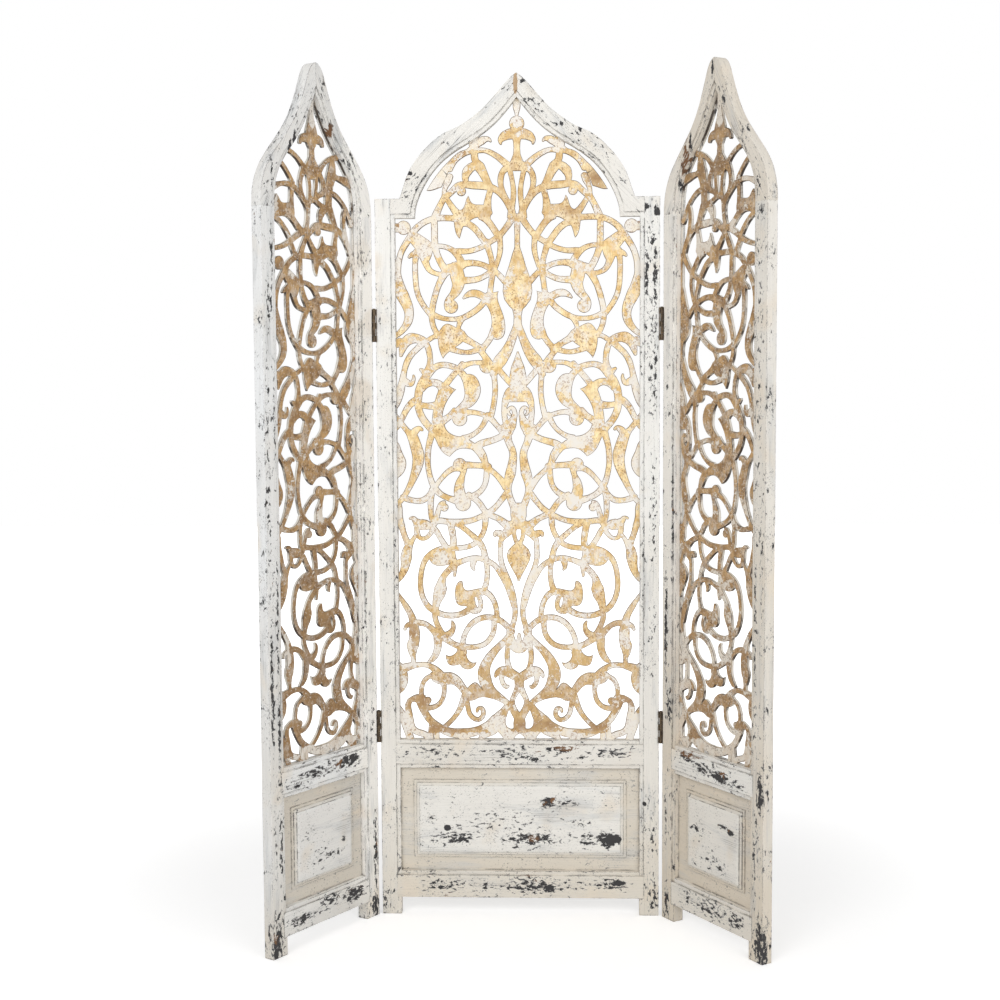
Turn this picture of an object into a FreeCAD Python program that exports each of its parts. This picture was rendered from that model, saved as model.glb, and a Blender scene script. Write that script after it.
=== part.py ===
import FreeCAD, Part
import math
import os
import re

# A folding screen of three panels. X runs across, Y from the front to the back, Z up.
# The origin is on the floor, in the middle of the space that the standing screen takes up.
# The two narrow panels hang on butt hinges and stand folded forward.

sizes = {
    # Whole screen
    "centre_width": 610, "side_width": 337, "thickness": 25, "panel_gap": 8,
    "centre_apex": 1830, "side_apex": 1828,
    # Frame members
    "stile_width": 42, "foot_height": 38, "bottom_rail_height": 59,
    "lock_rail_foot": 329, "lock_rail_height": 62,
    "spring_height": 1527, "shoulder_height": 1568,
    "centre_inner_apex": 1780, "side_inner_apex": 1765,
    "centre_outer_span": 252, "centre_inner_span": 220, "side_outer_spring": 1540,
    # Moulded step, groove and joints of the frame
    "step_width": 9, "step_depth": 3, "board_setback": 14, "board_thickness": 6,
    "groove_depth": 8, "tongue": 7, "groove_slack": 0.2,
    "tenon_length": 26, "tenon_slack": 1,
    "dowel_radius": 4, "dowel_length": 40, "dowel_pitch": 16, "dowel_setback": 9, "dowel_slack": 0.05,
    "spline_width": 20, "spline_thickness": 4, "spline_height": 22, "spline_drop": 18,
    "spline_setback": 6, "spline_slack": 0.2,
    # Raised base panel
    "ledge_margin": 29, "ledge_width": 6.2, "ledge_rise": 2.4,
    "quirk_rise": 1.6, "bead_rise": 1.4, "bead_run": 6.2,
    # Fretwork
    "centre_fret_rise": 1389, "side_fret_rise": 1278, "side_fret_run": 246,
    "centre_stem": 12, "side_stem": 11.2,
    # Butt hinges
    "upper_hinge": 1298, "lower_hinge": 422, "hinge_length": 70, "axis_proud": 1.2,
    "knuckle_radius": 3.6, "knuckle_gap": 0.3, "pin_radius": 2, "pin_clearance": 0.05,
    "pin_head_radius": 3, "pin_head_height": 1.5,
    "leaf_thickness": 2, "leaf_depth": 18, "web_thickness": 1.8,
    "screw_head_radius": 3.2, "screw_head_height": 1.6, "screw_radius": 1.6, "screw_length": 16,
    "screw_clearance": 0.05, "screw_pitch": 24, "screw_inset": 10.5,
    # How far a cut runs past the wood
    "overrun": 1,
}
fold_angle = 57
knuckle_count = 5
bead_count = 2

# Scrolls that both halves and the side panels share: points as (across share, up share, stem widths)
scroll_shares = [
    # Rings and bands under the crown
    [(0.60, 0.849, 1.1), (0.56, 0.854, 1.1), (0.52, 0.861, 1.1), (0.48, 0.867, 1.3), (0.43, 0.869, 1.2),
     (0.36, 0.868, 1.4), (0.28, 0.867, 1.4), (0.21, 0.864, 1.3), (0.16, 0.859, 1.2), (0.11, 0.850, 1.2),
     (0.07, 0.839, 1.3), (0.04, 0.826, 1.3)],
    [(0.33, 0.899, 1.3), (0.37, 0.8955, 1.6), (0.405, 0.889, 1.7), (0.42, 0.881, 1.3), (0.415, 0.873, 1.0)],
    [(0.335, 0.904, 1.3), (0.305, 0.896, 1.9), (0.275, 0.886, 1.6), (0.25, 0.876, 1.4), (0.22, 0.866, 1.2)],
    [(0.215, 0.862, 1.1), (0.232, 0.850, 1.1), (0.242, 0.838, 1.4), (0.235, 0.824, 1.6)],
    [(0.47, 0.822, 1.6), (0.52, 0.832, 1.2), (0.555, 0.842, 1.0), (0.60, 0.853, 1.0)],
    [(0.585, 0.852, 1.1), (0.625, 0.839, 1.1), (0.655, 0.827, 1.3), (0.68, 0.817, 1.3)],
    [(0.69, 0.8175, 1.2), (0.60, 0.8185, 1.1), (0.54, 0.818, 1.1), (0.46, 0.818, 1.6)],
    [(0.66, 0.818, 1.2), (0.72, 0.8155, 1.1), (0.78, 0.810, 1.1), (0.83, 0.802, 1.2), (0.875, 0.790, 1.3)],
    [(0.68, 0.817, 1.2), (0.677, 0.800, 1.2), (0.675, 0.780, 1.2), (0.665, 0.768, 1.2), (0.645, 0.757, 1.2),
     (0.615, 0.746, 1.3), (0.57, 0.736, 1.6)],
    [(0.45, 0.812, 1.6), (0.40, 0.809, 1.2), (0.345, 0.8015, 1.2), (0.30, 0.791, 1.2), (0.25, 0.778, 1.2)],
    [(0.30, 0.821, 1.4), (0.25, 0.815, 1.3), (0.21, 0.806, 1.2), (0.175, 0.796, 1.2), (0.14, 0.786, 1.2)],
    # Left edge below the rosette
    [(0.865, 0.793, 1.2), (0.905, 0.782, 1.2), (0.95, 0.767, 1.1), (0.975, 0.750, 1.1), (0.982, 0.733, 1.2),
     (0.97, 0.715, 1.9), (0.945, 0.700, 2.3), (0.912, 0.687, 2.0), (0.892, 0.673, 1.7), (0.903, 0.659, 1.5),
     (0.94, 0.648, 1.2), (0.985, 0.640, 1.0), (1.06, 0.634, 1.0)],
    [(0.89, 0.758, 0.5), (0.862, 0.7625, 1.0), (0.82, 0.764, 1.4), (0.77, 0.760, 1.4)],
    [(0.822, 0.768, 1.3), (0.838, 0.750, 1.0), (0.838, 0.733, 1.0), (0.832, 0.715, 1.0), (0.815, 0.700, 1.0),
     (0.785, 0.688, 1.0), (0.745, 0.677, 1.0), (0.70, 0.668, 1.2)],
    [(0.765, 0.759, 1.6), (0.745, 0.747, 1.2), (0.715, 0.738, 1.0), (0.67, 0.7335, 0.9), (0.60, 0.731, 1.0)],
    # Middle lens and the drop with its ball
    [(0.67, 0.775, 0.9), (0.60, 0.7745, 0.9), (0.55, 0.771, 1.0), (0.505, 0.7645, 1.2), (0.47, 0.755, 1.3),
     (0.45, 0.743, 1.4)],
    [(0.53, 0.768, 0.8), (0.47, 0.7672, 1.1), (0.40, 0.7672, 1.0), (0.33, 0.7705, 1.0), (0.27, 0.7755, 1.0),
     (0.21, 0.7825, 1.0), (0.15, 0.790, 1.1), (0.10, 0.8005, 1.1), (0.06, 0.811, 1.2), (0.03, 0.824, 1.3)],
    [(0.25, 0.783, 1.2), (0.235, 0.770, 1.1), (0.215, 0.757, 1.0), (0.205, 0.745, 1.1), (0.205, 0.733, 1.2),
     (0.213, 0.720, 1.0), (0.22, 0.710, 1.0), (0.228, 0.697, 1.1)],
    [(0.15, 0.792, 1.2), (0.14, 0.780, 1.0), (0.14, 0.768, 1.0), (0.155, 0.755, 0.9), (0.18, 0.743, 1.0),
     (0.21, 0.732, 1.1)],
    [(0.21, 0.739, 1.2), (0.165, 0.733, 1.0), (0.125, 0.725, 1.1), (0.08, 0.716, 1.2)],
    [(0.52, 0.743, 1.8), (0.43, 0.748, 1.3), (0.36, 0.749, 1.1), (0.29, 0.7465, 1.0), (0.22, 0.740, 1.1)],
    [(0.47, 0.722, 1.5), (0.40, 0.7225, 1.2), (0.34, 0.7235, 1.1), (0.28, 0.7275, 1.0), (0.215, 0.7355, 1.1)],
    [(0.50, 0.742, 2.4), (0.49, 0.728, 2.6), (0.485, 0.718, 2.3), (0.50, 0.708, 1.9), (0.535, 0.6985, 1.4),
     (0.57, 0.6905, 1.2), (0.577, 0.682, 1.1)],
    [(0.53, 0.742, 1.6), (0.57, 0.739, 1.8), (0.61, 0.729, 1.3), (0.648, 0.715, 1.1), (0.675, 0.700, 1.1),
     (0.695, 0.685, 1.1), (0.705, 0.670, 1.1), (0.70, 0.657, 1.0), (0.68, 0.646, 1.0), (0.645, 0.636, 1.2)],
    [(0.715, 0.672, 1.2), (0.66, 0.667, 1.0), (0.60, 0.6635, 0.9), (0.54, 0.6625, 0.9), (0.47, 0.6635, 1.0),
     (0.41, 0.668, 1.1), (0.35, 0.675, 1.1), (0.30, 0.683, 1.1), (0.265, 0.693, 1.2)],
    [(0.44, 0.665, 1.0), (0.475, 0.657, 1.0), (0.485, 0.650, 0.8), (0.48, 0.640, 1.4)],
    [(0.445, 0.6945, 0.4), (0.42, 0.6985, 0.9), (0.38, 0.702, 1.3), (0.33, 0.7015, 1.4), (0.29, 0.698, 1.4),
     (0.24, 0.694, 1.6)],
    [(0.19, 0.645, 1.6), (0.225, 0.633, 1.1), (0.26, 0.6235, 1.1), (0.32, 0.614, 1.3)],
    # Knot beside the axis and the second lens
    [(0.015, 0.652, 1.0), (0.03, 0.640, 1.4), (0.06, 0.625, 1.6), (0.10, 0.610, 2.0), (0.145, 0.598, 2.3),
     (0.18, 0.588, 2.0), (0.20, 0.575, 1.3)],
    [(0.32, 0.617, 1.2), (0.28, 0.607, 1.1), (0.25, 0.598, 1.4), (0.23, 0.588, 1.9)],
    [(0.195, 0.587, 1.4), (0.193, 0.570, 1.0), (0.187, 0.555, 1.0), (0.192, 0.540, 1.0), (0.205, 0.525, 1.0),
     (0.23, 0.508, 1.1)],
    [(0.20, 0.592, 1.6), (0.14, 0.580, 1.1), (0.09, 0.569, 1.1), (0.03, 0.558, 1.2)],
    [(0.55, 0.617, 1.2), (0.50, 0.6135, 1.0), (0.43, 0.611, 0.9), (0.36, 0.613, 1.0), (0.29, 0.619, 1.2)],
    [(0.47, 0.638, 2.0), (0.42, 0.631, 1.3), (0.37, 0.6255, 1.1), (0.33, 0.6205, 1.2), (0.28, 0.614, 1.2)],
    [(0.63, 0.637, 1.4), (0.69, 0.6355, 0.9), (0.74, 0.630, 0.9), (0.80, 0.624, 1.2)],
    [(0.76, 0.627, 1.4), (0.83, 0.633, 1.7), (0.88, 0.633, 2.0), (0.925, 0.627, 1.8), (0.95, 0.617, 1.3),
     (0.965, 0.606, 0.6)],
    [(0.96, 0.628, 1.6), (1.06, 0.622, 1.6)],
    [(0.77, 0.6285, 1.3), (0.83, 0.617, 1.1), (0.88, 0.6075, 1.1), (0.915, 0.596, 1.1), (0.935, 0.584, 1.0),
     (0.95, 0.570, 1.2), (0.97, 0.553, 1.5), (1.0, 0.535, 1.4), (1.06, 0.520, 1.2)],
    [(0.95, 0.572, 1.2), (0.915, 0.5645, 1.3), (0.885, 0.563, 1.1), (0.865, 0.567, 0.8), (0.863, 0.576, 0.4)],
    [(0.81, 0.541, 1.2), (0.87, 0.534, 1.3), (0.91, 0.526, 1.2), (0.94, 0.516, 1.1), (0.97, 0.505, 1.1),
     (1.06, 0.488, 1.1)],
    [(0.79, 0.630, 1.1), (0.75, 0.6235, 1.1), (0.73, 0.613, 1.1), (0.722, 0.602, 1.0), (0.725, 0.592, 1.2),
     (0.75, 0.579, 1.6)],
    [(0.46, 0.577, 1.2), (0.51, 0.587, 1.1), (0.56, 0.5905, 1.1), (0.62, 0.592, 1.1), (0.68, 0.5885, 1.2),
     (0.735, 0.579, 1.5), (0.78, 0.567, 1.6), (0.815, 0.552, 1.5), (0.825, 0.538, 1.4), (0.82, 0.524, 1.3),
     (0.795, 0.511, 1.3), (0.755, 0.500, 1.3), (0.69, 0.487, 1.4)],
    [(0.805, 0.5855, 0.5), (0.78, 0.582, 1.0), (0.74, 0.576, 1.4)],
    [(0.80, 0.555, 1.6), (0.74, 0.5635, 1.4), (0.69, 0.5645, 1.3), (0.64, 0.560, 1.5), (0.615, 0.552, 2.0),
     (0.622, 0.543, 2.2), (0.645, 0.532, 2.0), (0.66, 0.520, 1.8), (0.668, 0.508, 1.8), (0.665, 0.492, 2.2)],
    [(0.82, 0.530, 1.2), (0.77, 0.5285, 1.1), (0.72, 0.528, 1.3), (0.66, 0.530, 1.6)],
    [(0.45, 0.594, 1.1), (0.50, 0.583, 1.1), (0.545, 0.573, 1.1), (0.60, 0.560, 1.2)],
    [(0.25, 0.594, 1.2), (0.32, 0.595, 0.9), (0.38, 0.5945, 0.9), (0.43, 0.5915, 1.0), (0.485, 0.583, 1.1)],
    [(0.51, 0.519, 1.8), (0.57, 0.511, 1.2), (0.62, 0.5045, 1.4), (0.67, 0.497, 1.6)],
    [(0.45, 0.516, 1.5), (0.39, 0.518, 1.0), (0.33, 0.5165, 0.9), (0.28, 0.5135, 0.9), (0.225, 0.508, 1.1),
     (0.19, 0.5005, 1.0), (0.16, 0.494, 1.0), (0.13, 0.487, 1.1), (0.09, 0.477, 1.2)],
    [(0.245, 0.515, 1.1), (0.275, 0.503, 1.0), (0.305, 0.494, 0.9), (0.35, 0.486, 0.9), (0.40, 0.4805, 1.0),
     (0.46, 0.477, 1.2)],
    # Hanging leaf, right strap and the comma leaf
    [(0.42, 0.468, 1.6), (0.37, 0.4645, 1.3), (0.325, 0.4585, 1.6), (0.295, 0.450, 1.5), (0.275, 0.440, 1.2),
     (0.258, 0.430, 1.3)],
    [(0.35, 0.462, 1.5), (0.28, 0.4705, 1.3), (0.22, 0.4735, 1.2), (0.16, 0.478, 1.2), (0.10, 0.4835, 1.2)],
    [(0.70, 0.492, 1.6), (0.72, 0.480, 1.2), (0.74, 0.466, 1.1), (0.75, 0.450, 1.1), (0.748, 0.435, 1.0),
     (0.735, 0.420, 1.0), (0.712, 0.406, 1.1), (0.68, 0.396, 1.2), (0.63, 0.388, 1.1), (0.58, 0.3835, 1.1),
     (0.52, 0.380, 1.4)],
    [(1.06, 0.522, 0.9), (0.98, 0.505, 0.9), (0.915, 0.489, 1.1), (0.875, 0.480, 1.9), (0.85, 0.467, 2.1),
     (0.83, 0.453, 2.2), (0.832, 0.438, 2.0), (0.855, 0.423, 1.6), (0.885, 0.409, 1.2), (0.925, 0.394, 1.0),
     (0.97, 0.381, 1.0), (1.06, 0.368, 1.1)],
    [(0.87, 0.482, 1.6), (0.845, 0.490, 1.3), (0.815, 0.4925, 1.0), (0.792, 0.490, 0.5)],
    [(0.97, 0.386, 1.0), (0.92, 0.382, 1.1), (0.86, 0.3795, 1.0), (0.80, 0.380, 1.1), (0.755, 0.385, 1.1),
     (0.72, 0.393, 1.1), (0.695, 0.403, 1.0)],
    [(0.71, 0.398, 1.2), (0.728, 0.380, 1.1), (0.728, 0.365, 1.0), (0.722, 0.352, 0.9), (0.69, 0.342, 1.0)],
    [(0.71, 0.345, 1.1), (0.675, 0.357, 1.0), (0.66, 0.3675, 0.9), (0.64, 0.3755, 0.7), (0.61, 0.3765, 0.7)],
    [(0.71, 0.344, 1.0), (0.65, 0.348, 1.1), (0.59, 0.3465, 1.1), (0.52, 0.346, 1.1), (0.45, 0.3465, 1.1),
     (0.38, 0.349, 1.0), (0.32, 0.3535, 1.0), (0.27, 0.358, 1.1), (0.22, 0.364, 1.1), (0.17, 0.3735, 1.0),
     (0.13, 0.383, 1.1), (0.085, 0.394, 1.2)],
    [(0.42, 0.388, 1.3), (0.355, 0.3815, 1.1), (0.315, 0.3735, 1.1), (0.275, 0.3625, 1.1), (0.225, 0.356, 1.1),
     (0.17, 0.3515, 1.1), (0.12, 0.3445, 1.4), (0.07, 0.337, 2.0)],
    [(0.245, 0.4315, 1.2), (0.31, 0.4345, 1.1), (0.37, 0.435, 1.1), (0.43, 0.4355, 1.3), (0.49, 0.433, 1.4)],
    [(0.48, 0.431, 1.4), (0.54, 0.4295, 1.1), (0.585, 0.4245, 1.0), (0.625, 0.417, 0.9), (0.665, 0.408, 0.9),
     (0.71, 0.396, 1.0)],
    [(0.455, 0.434, 1.4), (0.462, 0.420, 1.0), (0.485, 0.407, 1.6), (0.49, 0.394, 2.0), (0.475, 0.383, 2.3),
     (0.46, 0.374, 1.8)],
    [(0.245, 0.435, 1.3), (0.262, 0.420, 1.1), (0.272, 0.408, 1.0), (0.298, 0.398, 1.0), (0.34, 0.3905, 1.1),
     (0.41, 0.384, 1.3)],
    [(0.28, 0.4345, 1.2), (0.225, 0.427, 1.0), (0.18, 0.4195, 1.0), (0.14, 0.411, 1.2), (0.10, 0.399, 1.3)],
    # Straps beside the axis
    [(0.062, 0.5135, 0.5), (0.078, 0.5165, 0.6), (0.075, 0.5225, 0.7), (0.05, 0.5245, 0.8), (0.03, 0.519, 0.9),
     (0.035, 0.509, 1.2), (0.06, 0.498, 2.0), (0.085, 0.485, 1.8)],
    [(0.05, 0.548, 2.4), (0.095, 0.538, 1.5), (0.112, 0.526, 1.0), (0.112, 0.512, 1.0), (0.10, 0.501, 1.2),
     (0.085, 0.488, 1.4)],
    [(0.085, 0.494, 1.6), (0.09, 0.482, 1.5), (0.075, 0.470, 1.3), (0.05, 0.459, 1.3), (0.042, 0.448, 1.4),
     (0.05, 0.437, 1.6), (0.065, 0.422, 1.9), (0.085, 0.408, 1.6), (0.085, 0.396, 1.2), (0.07, 0.384, 1.2),
     (0.045, 0.372, 1.3), (0.02, 0.360, 1.5)],
    [(0.03, 0.340, 0.9), (0.037, 0.327, 0.8), (0.025, 0.317, 0.8), (0.0, 0.310, 1.0)],
    [(0.05, 0.344, 1.6), (0.085, 0.332, 1.9), (0.115, 0.3255, 1.4), (0.145, 0.317, 1.0), (0.15, 0.305, 1.0),
     (0.152, 0.292, 1.0), (0.14, 0.279, 1.0), (0.115, 0.266, 1.0), (0.085, 0.253, 1.0), (0.058, 0.238, 1.0),
     (0.04, 0.223, 1.0), (0.032, 0.208, 1.0), (0.035, 0.195, 1.0), (0.05, 0.184, 1.0), (0.07, 0.172, 1.2)],
    [(0.11, 0.326, 1.2), (0.16, 0.3275, 1.3), (0.185, 0.3285, 1.1), (0.196, 0.3235, 0.6)],
    # Leaf with the small ring, left of the middle
    [(0.905, 0.351, 0.4), (0.875, 0.3515, 0.9), (0.845, 0.345, 1.3), (0.81, 0.342, 2.0), (0.77, 0.341, 1.9),
     (0.73, 0.3385, 1.2), (0.69, 0.333, 1.1), (0.655, 0.322, 1.0), (0.62, 0.311, 1.1), (0.59, 0.300, 1.4)],
    [(0.83, 0.346, 1.8), (0.845, 0.336, 1.2), (0.84, 0.327, 1.0), (0.815, 0.3205, 0.8), (0.775, 0.3205, 0.8),
     (0.74, 0.326, 0.9), (0.71, 0.335, 1.0)],
    [(0.835, 0.328, 0.9), (0.875, 0.3195, 0.8), (0.905, 0.310, 1.2), (0.925, 0.302, 1.8), (0.937, 0.290, 2.1),
     (0.945, 0.278, 1.7), (0.965, 0.266, 1.3), (1.06, 0.250, 1.0)],
    [(1.06, 0.382, 1.0), (0.99, 0.372, 0.9), (0.985, 0.355, 1.0), (0.972, 0.340, 1.2), (0.95, 0.325, 1.1),
     (0.925, 0.312, 1.2), (0.92, 0.302, 1.2)],
    [(0.565, 0.347, 1.3), (0.553, 0.332, 1.3), (0.543, 0.320, 1.2), (0.550, 0.304, 1.3)],
    [(0.53, 0.345, 1.2), (0.465, 0.3375, 1.0), (0.41, 0.329, 1.0), (0.36, 0.3205, 1.1), (0.32, 0.312, 1.2),
     (0.292, 0.302, 1.1), (0.28, 0.291, 1.2), (0.25, 0.279, 1.2)],
    [(0.272, 0.362, 1.1), (0.275, 0.347, 1.1), (0.285, 0.334, 1.0), (0.315, 0.322, 1.0), (0.36, 0.3125, 1.0),
     (0.42, 0.307, 1.0), (0.48, 0.305, 1.0), (0.56, 0.304, 1.1)],
    # Great ring of the lower scroll
    [(0.58, 0.301, 1.4), (0.66, 0.302, 1.2), (0.72, 0.2965, 1.2), (0.77, 0.288, 1.1), (0.80, 0.276, 1.0),
     (0.817, 0.260, 1.0), (0.82, 0.245, 1.0), (0.81, 0.232, 1.0), (0.785, 0.220, 1.0), (0.75, 0.211, 1.1),
     (0.67, 0.2015, 1.1), (0.61, 0.198, 1.1), (0.55, 0.1975, 1.1), (0.49, 0.1995, 1.1), (0.43, 0.205, 1.2),
     (0.37, 0.212, 1.4)],
    [(0.565, 0.306, 1.6), (0.555, 0.292, 1.4), (0.535, 0.280, 1.3)],
    [(0.56, 0.277, 1.3), (0.51, 0.281, 1.2), (0.45, 0.2855, 1.0), (0.39, 0.2885, 1.0), (0.33, 0.2885, 1.0),
     (0.28, 0.286, 1.1), (0.23, 0.2815, 1.0), (0.185, 0.274, 1.0), (0.15, 0.2635, 1.0), (0.11, 0.2495, 1.0),
     (0.075, 0.233, 1.0), (0.04, 0.212, 1.0)],
    [(0.375, 0.289, 1.6), (0.382, 0.279, 1.1), (0.38, 0.2735, 0.8), (0.367, 0.270, 0.4)],
    [(0.53, 0.279, 1.1), (0.533, 0.268, 0.8), (0.535, 0.260, 0.5)],
    [(0.535, 0.279, 1.4), (0.585, 0.269, 1.2), (0.625, 0.260, 1.2), (0.645, 0.250, 1.6), (0.652, 0.241, 2.3),
     (0.665, 0.231, 2.2), (0.685, 0.220, 1.6), (0.695, 0.209, 1.2), (0.70, 0.194, 1.0), (0.682, 0.183, 1.0),
     (0.66, 0.173, 1.2), (0.63, 0.163, 1.6)],
    [(0.28, 0.292, 1.2), (0.265, 0.277, 1.0), (0.262, 0.263, 1.0), (0.27, 0.250, 1.0), (0.29, 0.238, 1.2)],
    [(0.345, 0.233, 1.0), (0.325, 0.223, 0.9), (0.318, 0.213, 0.9), (0.335, 0.2065, 1.0), (0.39, 0.206, 1.1)],
    [(0.31, 0.2355, 1.2), (0.25, 0.2315, 1.1), (0.215, 0.223, 1.0), (0.193, 0.212, 1.0), (0.184, 0.200, 1.0),
     (0.187, 0.188, 1.1)],
    # Lower junction with its legs
    [(0.64, 0.1655, 1.5), (0.58, 0.1685, 1.3), (0.553, 0.1755, 1.0), (0.55, 0.183, 0.8), (0.563, 0.1885, 0.4)],
    [(0.67, 0.167, 1.8), (0.60, 0.1585, 1.2), (0.55, 0.1525, 1.1), (0.50, 0.1485, 1.2), (0.44, 0.147, 1.3)],
    [(0.675, 0.170, 1.8), (0.678, 0.156, 1.6), (0.682, 0.145, 1.4), (0.70, 0.135, 1.3), (0.735, 0.1265, 1.0),
     (0.76, 0.124, 0.5)],
    [(0.66, 0.163, 1.6), (0.715, 0.1735, 1.2), (0.76, 0.1815, 1.0), (0.81, 0.1855, 1.1), (0.88, 0.184, 1.3)],
    [(1.06, 0.240, 0.9), (0.985, 0.2245, 0.8), (0.945, 0.213, 1.1), (0.905, 0.200, 1.2), (0.882, 0.186, 1.5),
     (0.875, 0.172, 2.0), (0.875, 0.160, 2.0), (0.89, 0.149, 2.2), (0.892, 0.140, 1.6), (0.886, 0.130, 0.9),
     (0.89, 0.117, 1.0)],
    [(0.89, 0.183, 1.2), (0.935, 0.1815, 0.9), (0.955, 0.175, 0.6)],
    [(0.91, 0.1175, 1.2), (0.85, 0.1185, 1.0), (0.79, 0.119, 1.0), (0.735, 0.1155, 1.1), (0.69, 0.1085, 1.5),
     (0.65, 0.098, 2.0)],
    [(0.88, 0.1175, 1.2), (0.93, 0.1155, 1.5), (0.98, 0.112, 1.8), (1.06, 0.108, 1.8)],
    [(1.06, 0.124, 1.0), (0.99, 0.113, 1.4), (0.967, 0.100, 1.6), (0.975, 0.086, 1.4), (1.06, 0.074, 1.0)],
    # Oval ring beside the axis
    [(0.055, 0.170, 1.2), (0.10, 0.1805, 1.1), (0.14, 0.1875, 1.1), (0.185, 0.1925, 1.1), (0.24, 0.1945, 1.1),
     (0.29, 0.1945, 1.1), (0.34, 0.1915, 1.1), (0.385, 0.186, 1.1), (0.425, 0.1775, 1.0), (0.452, 0.168, 1.0),
     (0.468, 0.158, 1.0), (0.472, 0.149, 1.2), (0.475, 0.138, 1.8)],
    [(0.205, 0.195, 1.2), (0.207, 0.182, 1.0), (0.215, 0.171, 1.0), (0.245, 0.160, 1.0), (0.29, 0.152, 1.0),
     (0.35, 0.148, 1.0), (0.41, 0.147, 1.0), (0.48, 0.1475, 1.3)],
    [(0.065, 0.180, 1.3), (0.075, 0.167, 1.4), (0.06, 0.156, 1.5), (0.035, 0.147, 1.6), (0.0, 0.144, 1.6)],
    [(0.075, 0.160, 1.3), (0.09, 0.149, 1.1), (0.10, 0.137, 1.0), (0.098, 0.125, 1.0), (0.085, 0.114, 1.1),
     (0.05, 0.104, 1.3)],
    [(0.075, 0.166, 1.3), (0.13, 0.155, 1.2), (0.18, 0.146, 1.3), (0.23, 0.135, 1.6), (0.275, 0.121, 1.9),
     (0.295, 0.107, 2.3), (0.285, 0.094, 2.4), (0.26, 0.083, 2.1), (0.22, 0.0745, 1.7), (0.17, 0.068, 1.3),
     (0.12, 0.0605, 1.1), (0.08, 0.053, 1.1), (0.05, 0.045, 1.2), (0.015, 0.034, 1.4)],
    [(0.0, 0.098, 1.6), (0.05, 0.103, 1.8), (0.10, 0.108, 1.9), (0.15, 0.109, 1.6), (0.185, 0.105, 1.1),
     (0.20, 0.0995, 0.5)],
    [(0.145, 0.105, 1.2), (0.145, 0.094, 0.9), (0.13, 0.0875, 0.9), (0.105, 0.084, 0.9), (0.09, 0.0855, 0.5)],
    [(0.015, 0.080, 1.3), (0.045, 0.069, 1.0), (0.06, 0.060, 1.0), (0.05, 0.051, 1.0), (0.03, 0.043, 1.1),
     (0.0, 0.034, 1.3)],
    # Bottom scroll and its spiral
    [(0.735, 0.104, 1.0), (0.695, 0.0985, 1.9), (0.64, 0.0965, 2.3), (0.58, 0.097, 2.3), (0.53, 0.0935, 1.9),
     (0.49, 0.0855, 1.5), (0.455, 0.0765, 1.4), (0.41, 0.068, 1.6)],
    [(0.635, 0.092, 1.2), (0.629, 0.080, 0.9), (0.634, 0.070, 0.9), (0.652, 0.061, 0.9), (0.69, 0.0535, 0.9),
     (0.74, 0.050, 1.0), (0.80, 0.051, 1.2)],
    [(0.69, 0.103, 1.4), (0.75, 0.100, 0.9), (0.79, 0.0945, 0.9), (0.815, 0.0845, 0.9), (0.822, 0.074, 0.9),
     (0.815, 0.062, 1.3)],
    [(0.935, 0.0605, 0.6), (0.90, 0.0635, 1.0), (0.86, 0.0645, 1.6), (0.82, 0.0625, 2.0), (0.785, 0.061, 2.0),
     (0.758, 0.0635, 1.2)],
    [(0.84, 0.066, 1.6), (0.815, 0.0505, 1.4), (0.785, 0.0395, 1.3), (0.745, 0.029, 1.3), (0.69, 0.0205, 1.4),
     (0.63, 0.0135, 1.5), (0.56, 0.0095, 1.7), (0.48, 0.009, 1.8), (0.40, 0.0105, 1.7), (0.33, 0.0145, 1.6),
     (0.26, 0.0215, 1.7), (0.20, 0.029, 2.3), (0.155, 0.037, 2.1), (0.12, 0.047, 1.4), (0.08, 0.057, 1.2)],
    [(0.45, 0.069, 2.0), (0.39, 0.0715, 2.2), (0.33, 0.0735, 1.6), (0.27, 0.0715, 1.2), (0.21, 0.0685, 1.1),
     (0.13, 0.062, 1.1)],
    [(0.45, 0.072, 1.4), (0.478, 0.058, 1.2), (0.505, 0.046, 1.0), (0.54, 0.036, 0.9), (0.59, 0.0255, 0.9),
     (0.65, 0.016, 0.9)],
    [(0.46, 0.063, 1.3), (0.43, 0.050, 0.9), (0.418, 0.041, 0.9), (0.385, 0.0335, 0.9), (0.345, 0.031, 0.9),
     (0.312, 0.0355, 0.9), (0.302, 0.043, 0.9), (0.322, 0.0495, 0.8), (0.346, 0.0485, 0.7), (0.352, 0.0435, 0.5)],
    [(0.91, 0.062, 0.9), (0.935, 0.052, 1.2), (0.928, 0.041, 1.3), (0.915, 0.029, 1.2), (0.90, 0.018, 1.2),
     (0.86, 0.011, 1.2), (0.81, 0.008, 1.2), (0.76, -0.004, 1.2)],
    [(1.06, 0.056, 1.2), (0.98, 0.036, 1.4), (0.955, 0.022, 1.5), (0.93, 0.008, 1.4), (0.91, -0.006, 1.4)],
    [(0.73, 0.026, 1.2), (0.742, 0.012, 1.1), (0.752, -0.006, 1.3)],
    [(0.695, 0.018, 0.9), (0.694, -0.006, 1.0)],
    [(0.50, 0.008, 1.6), (0.42, -0.006, 1.4)],
    [(0.93, 0.804, 1.6), (1.06, 0.804, 1.6)],
]
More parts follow.
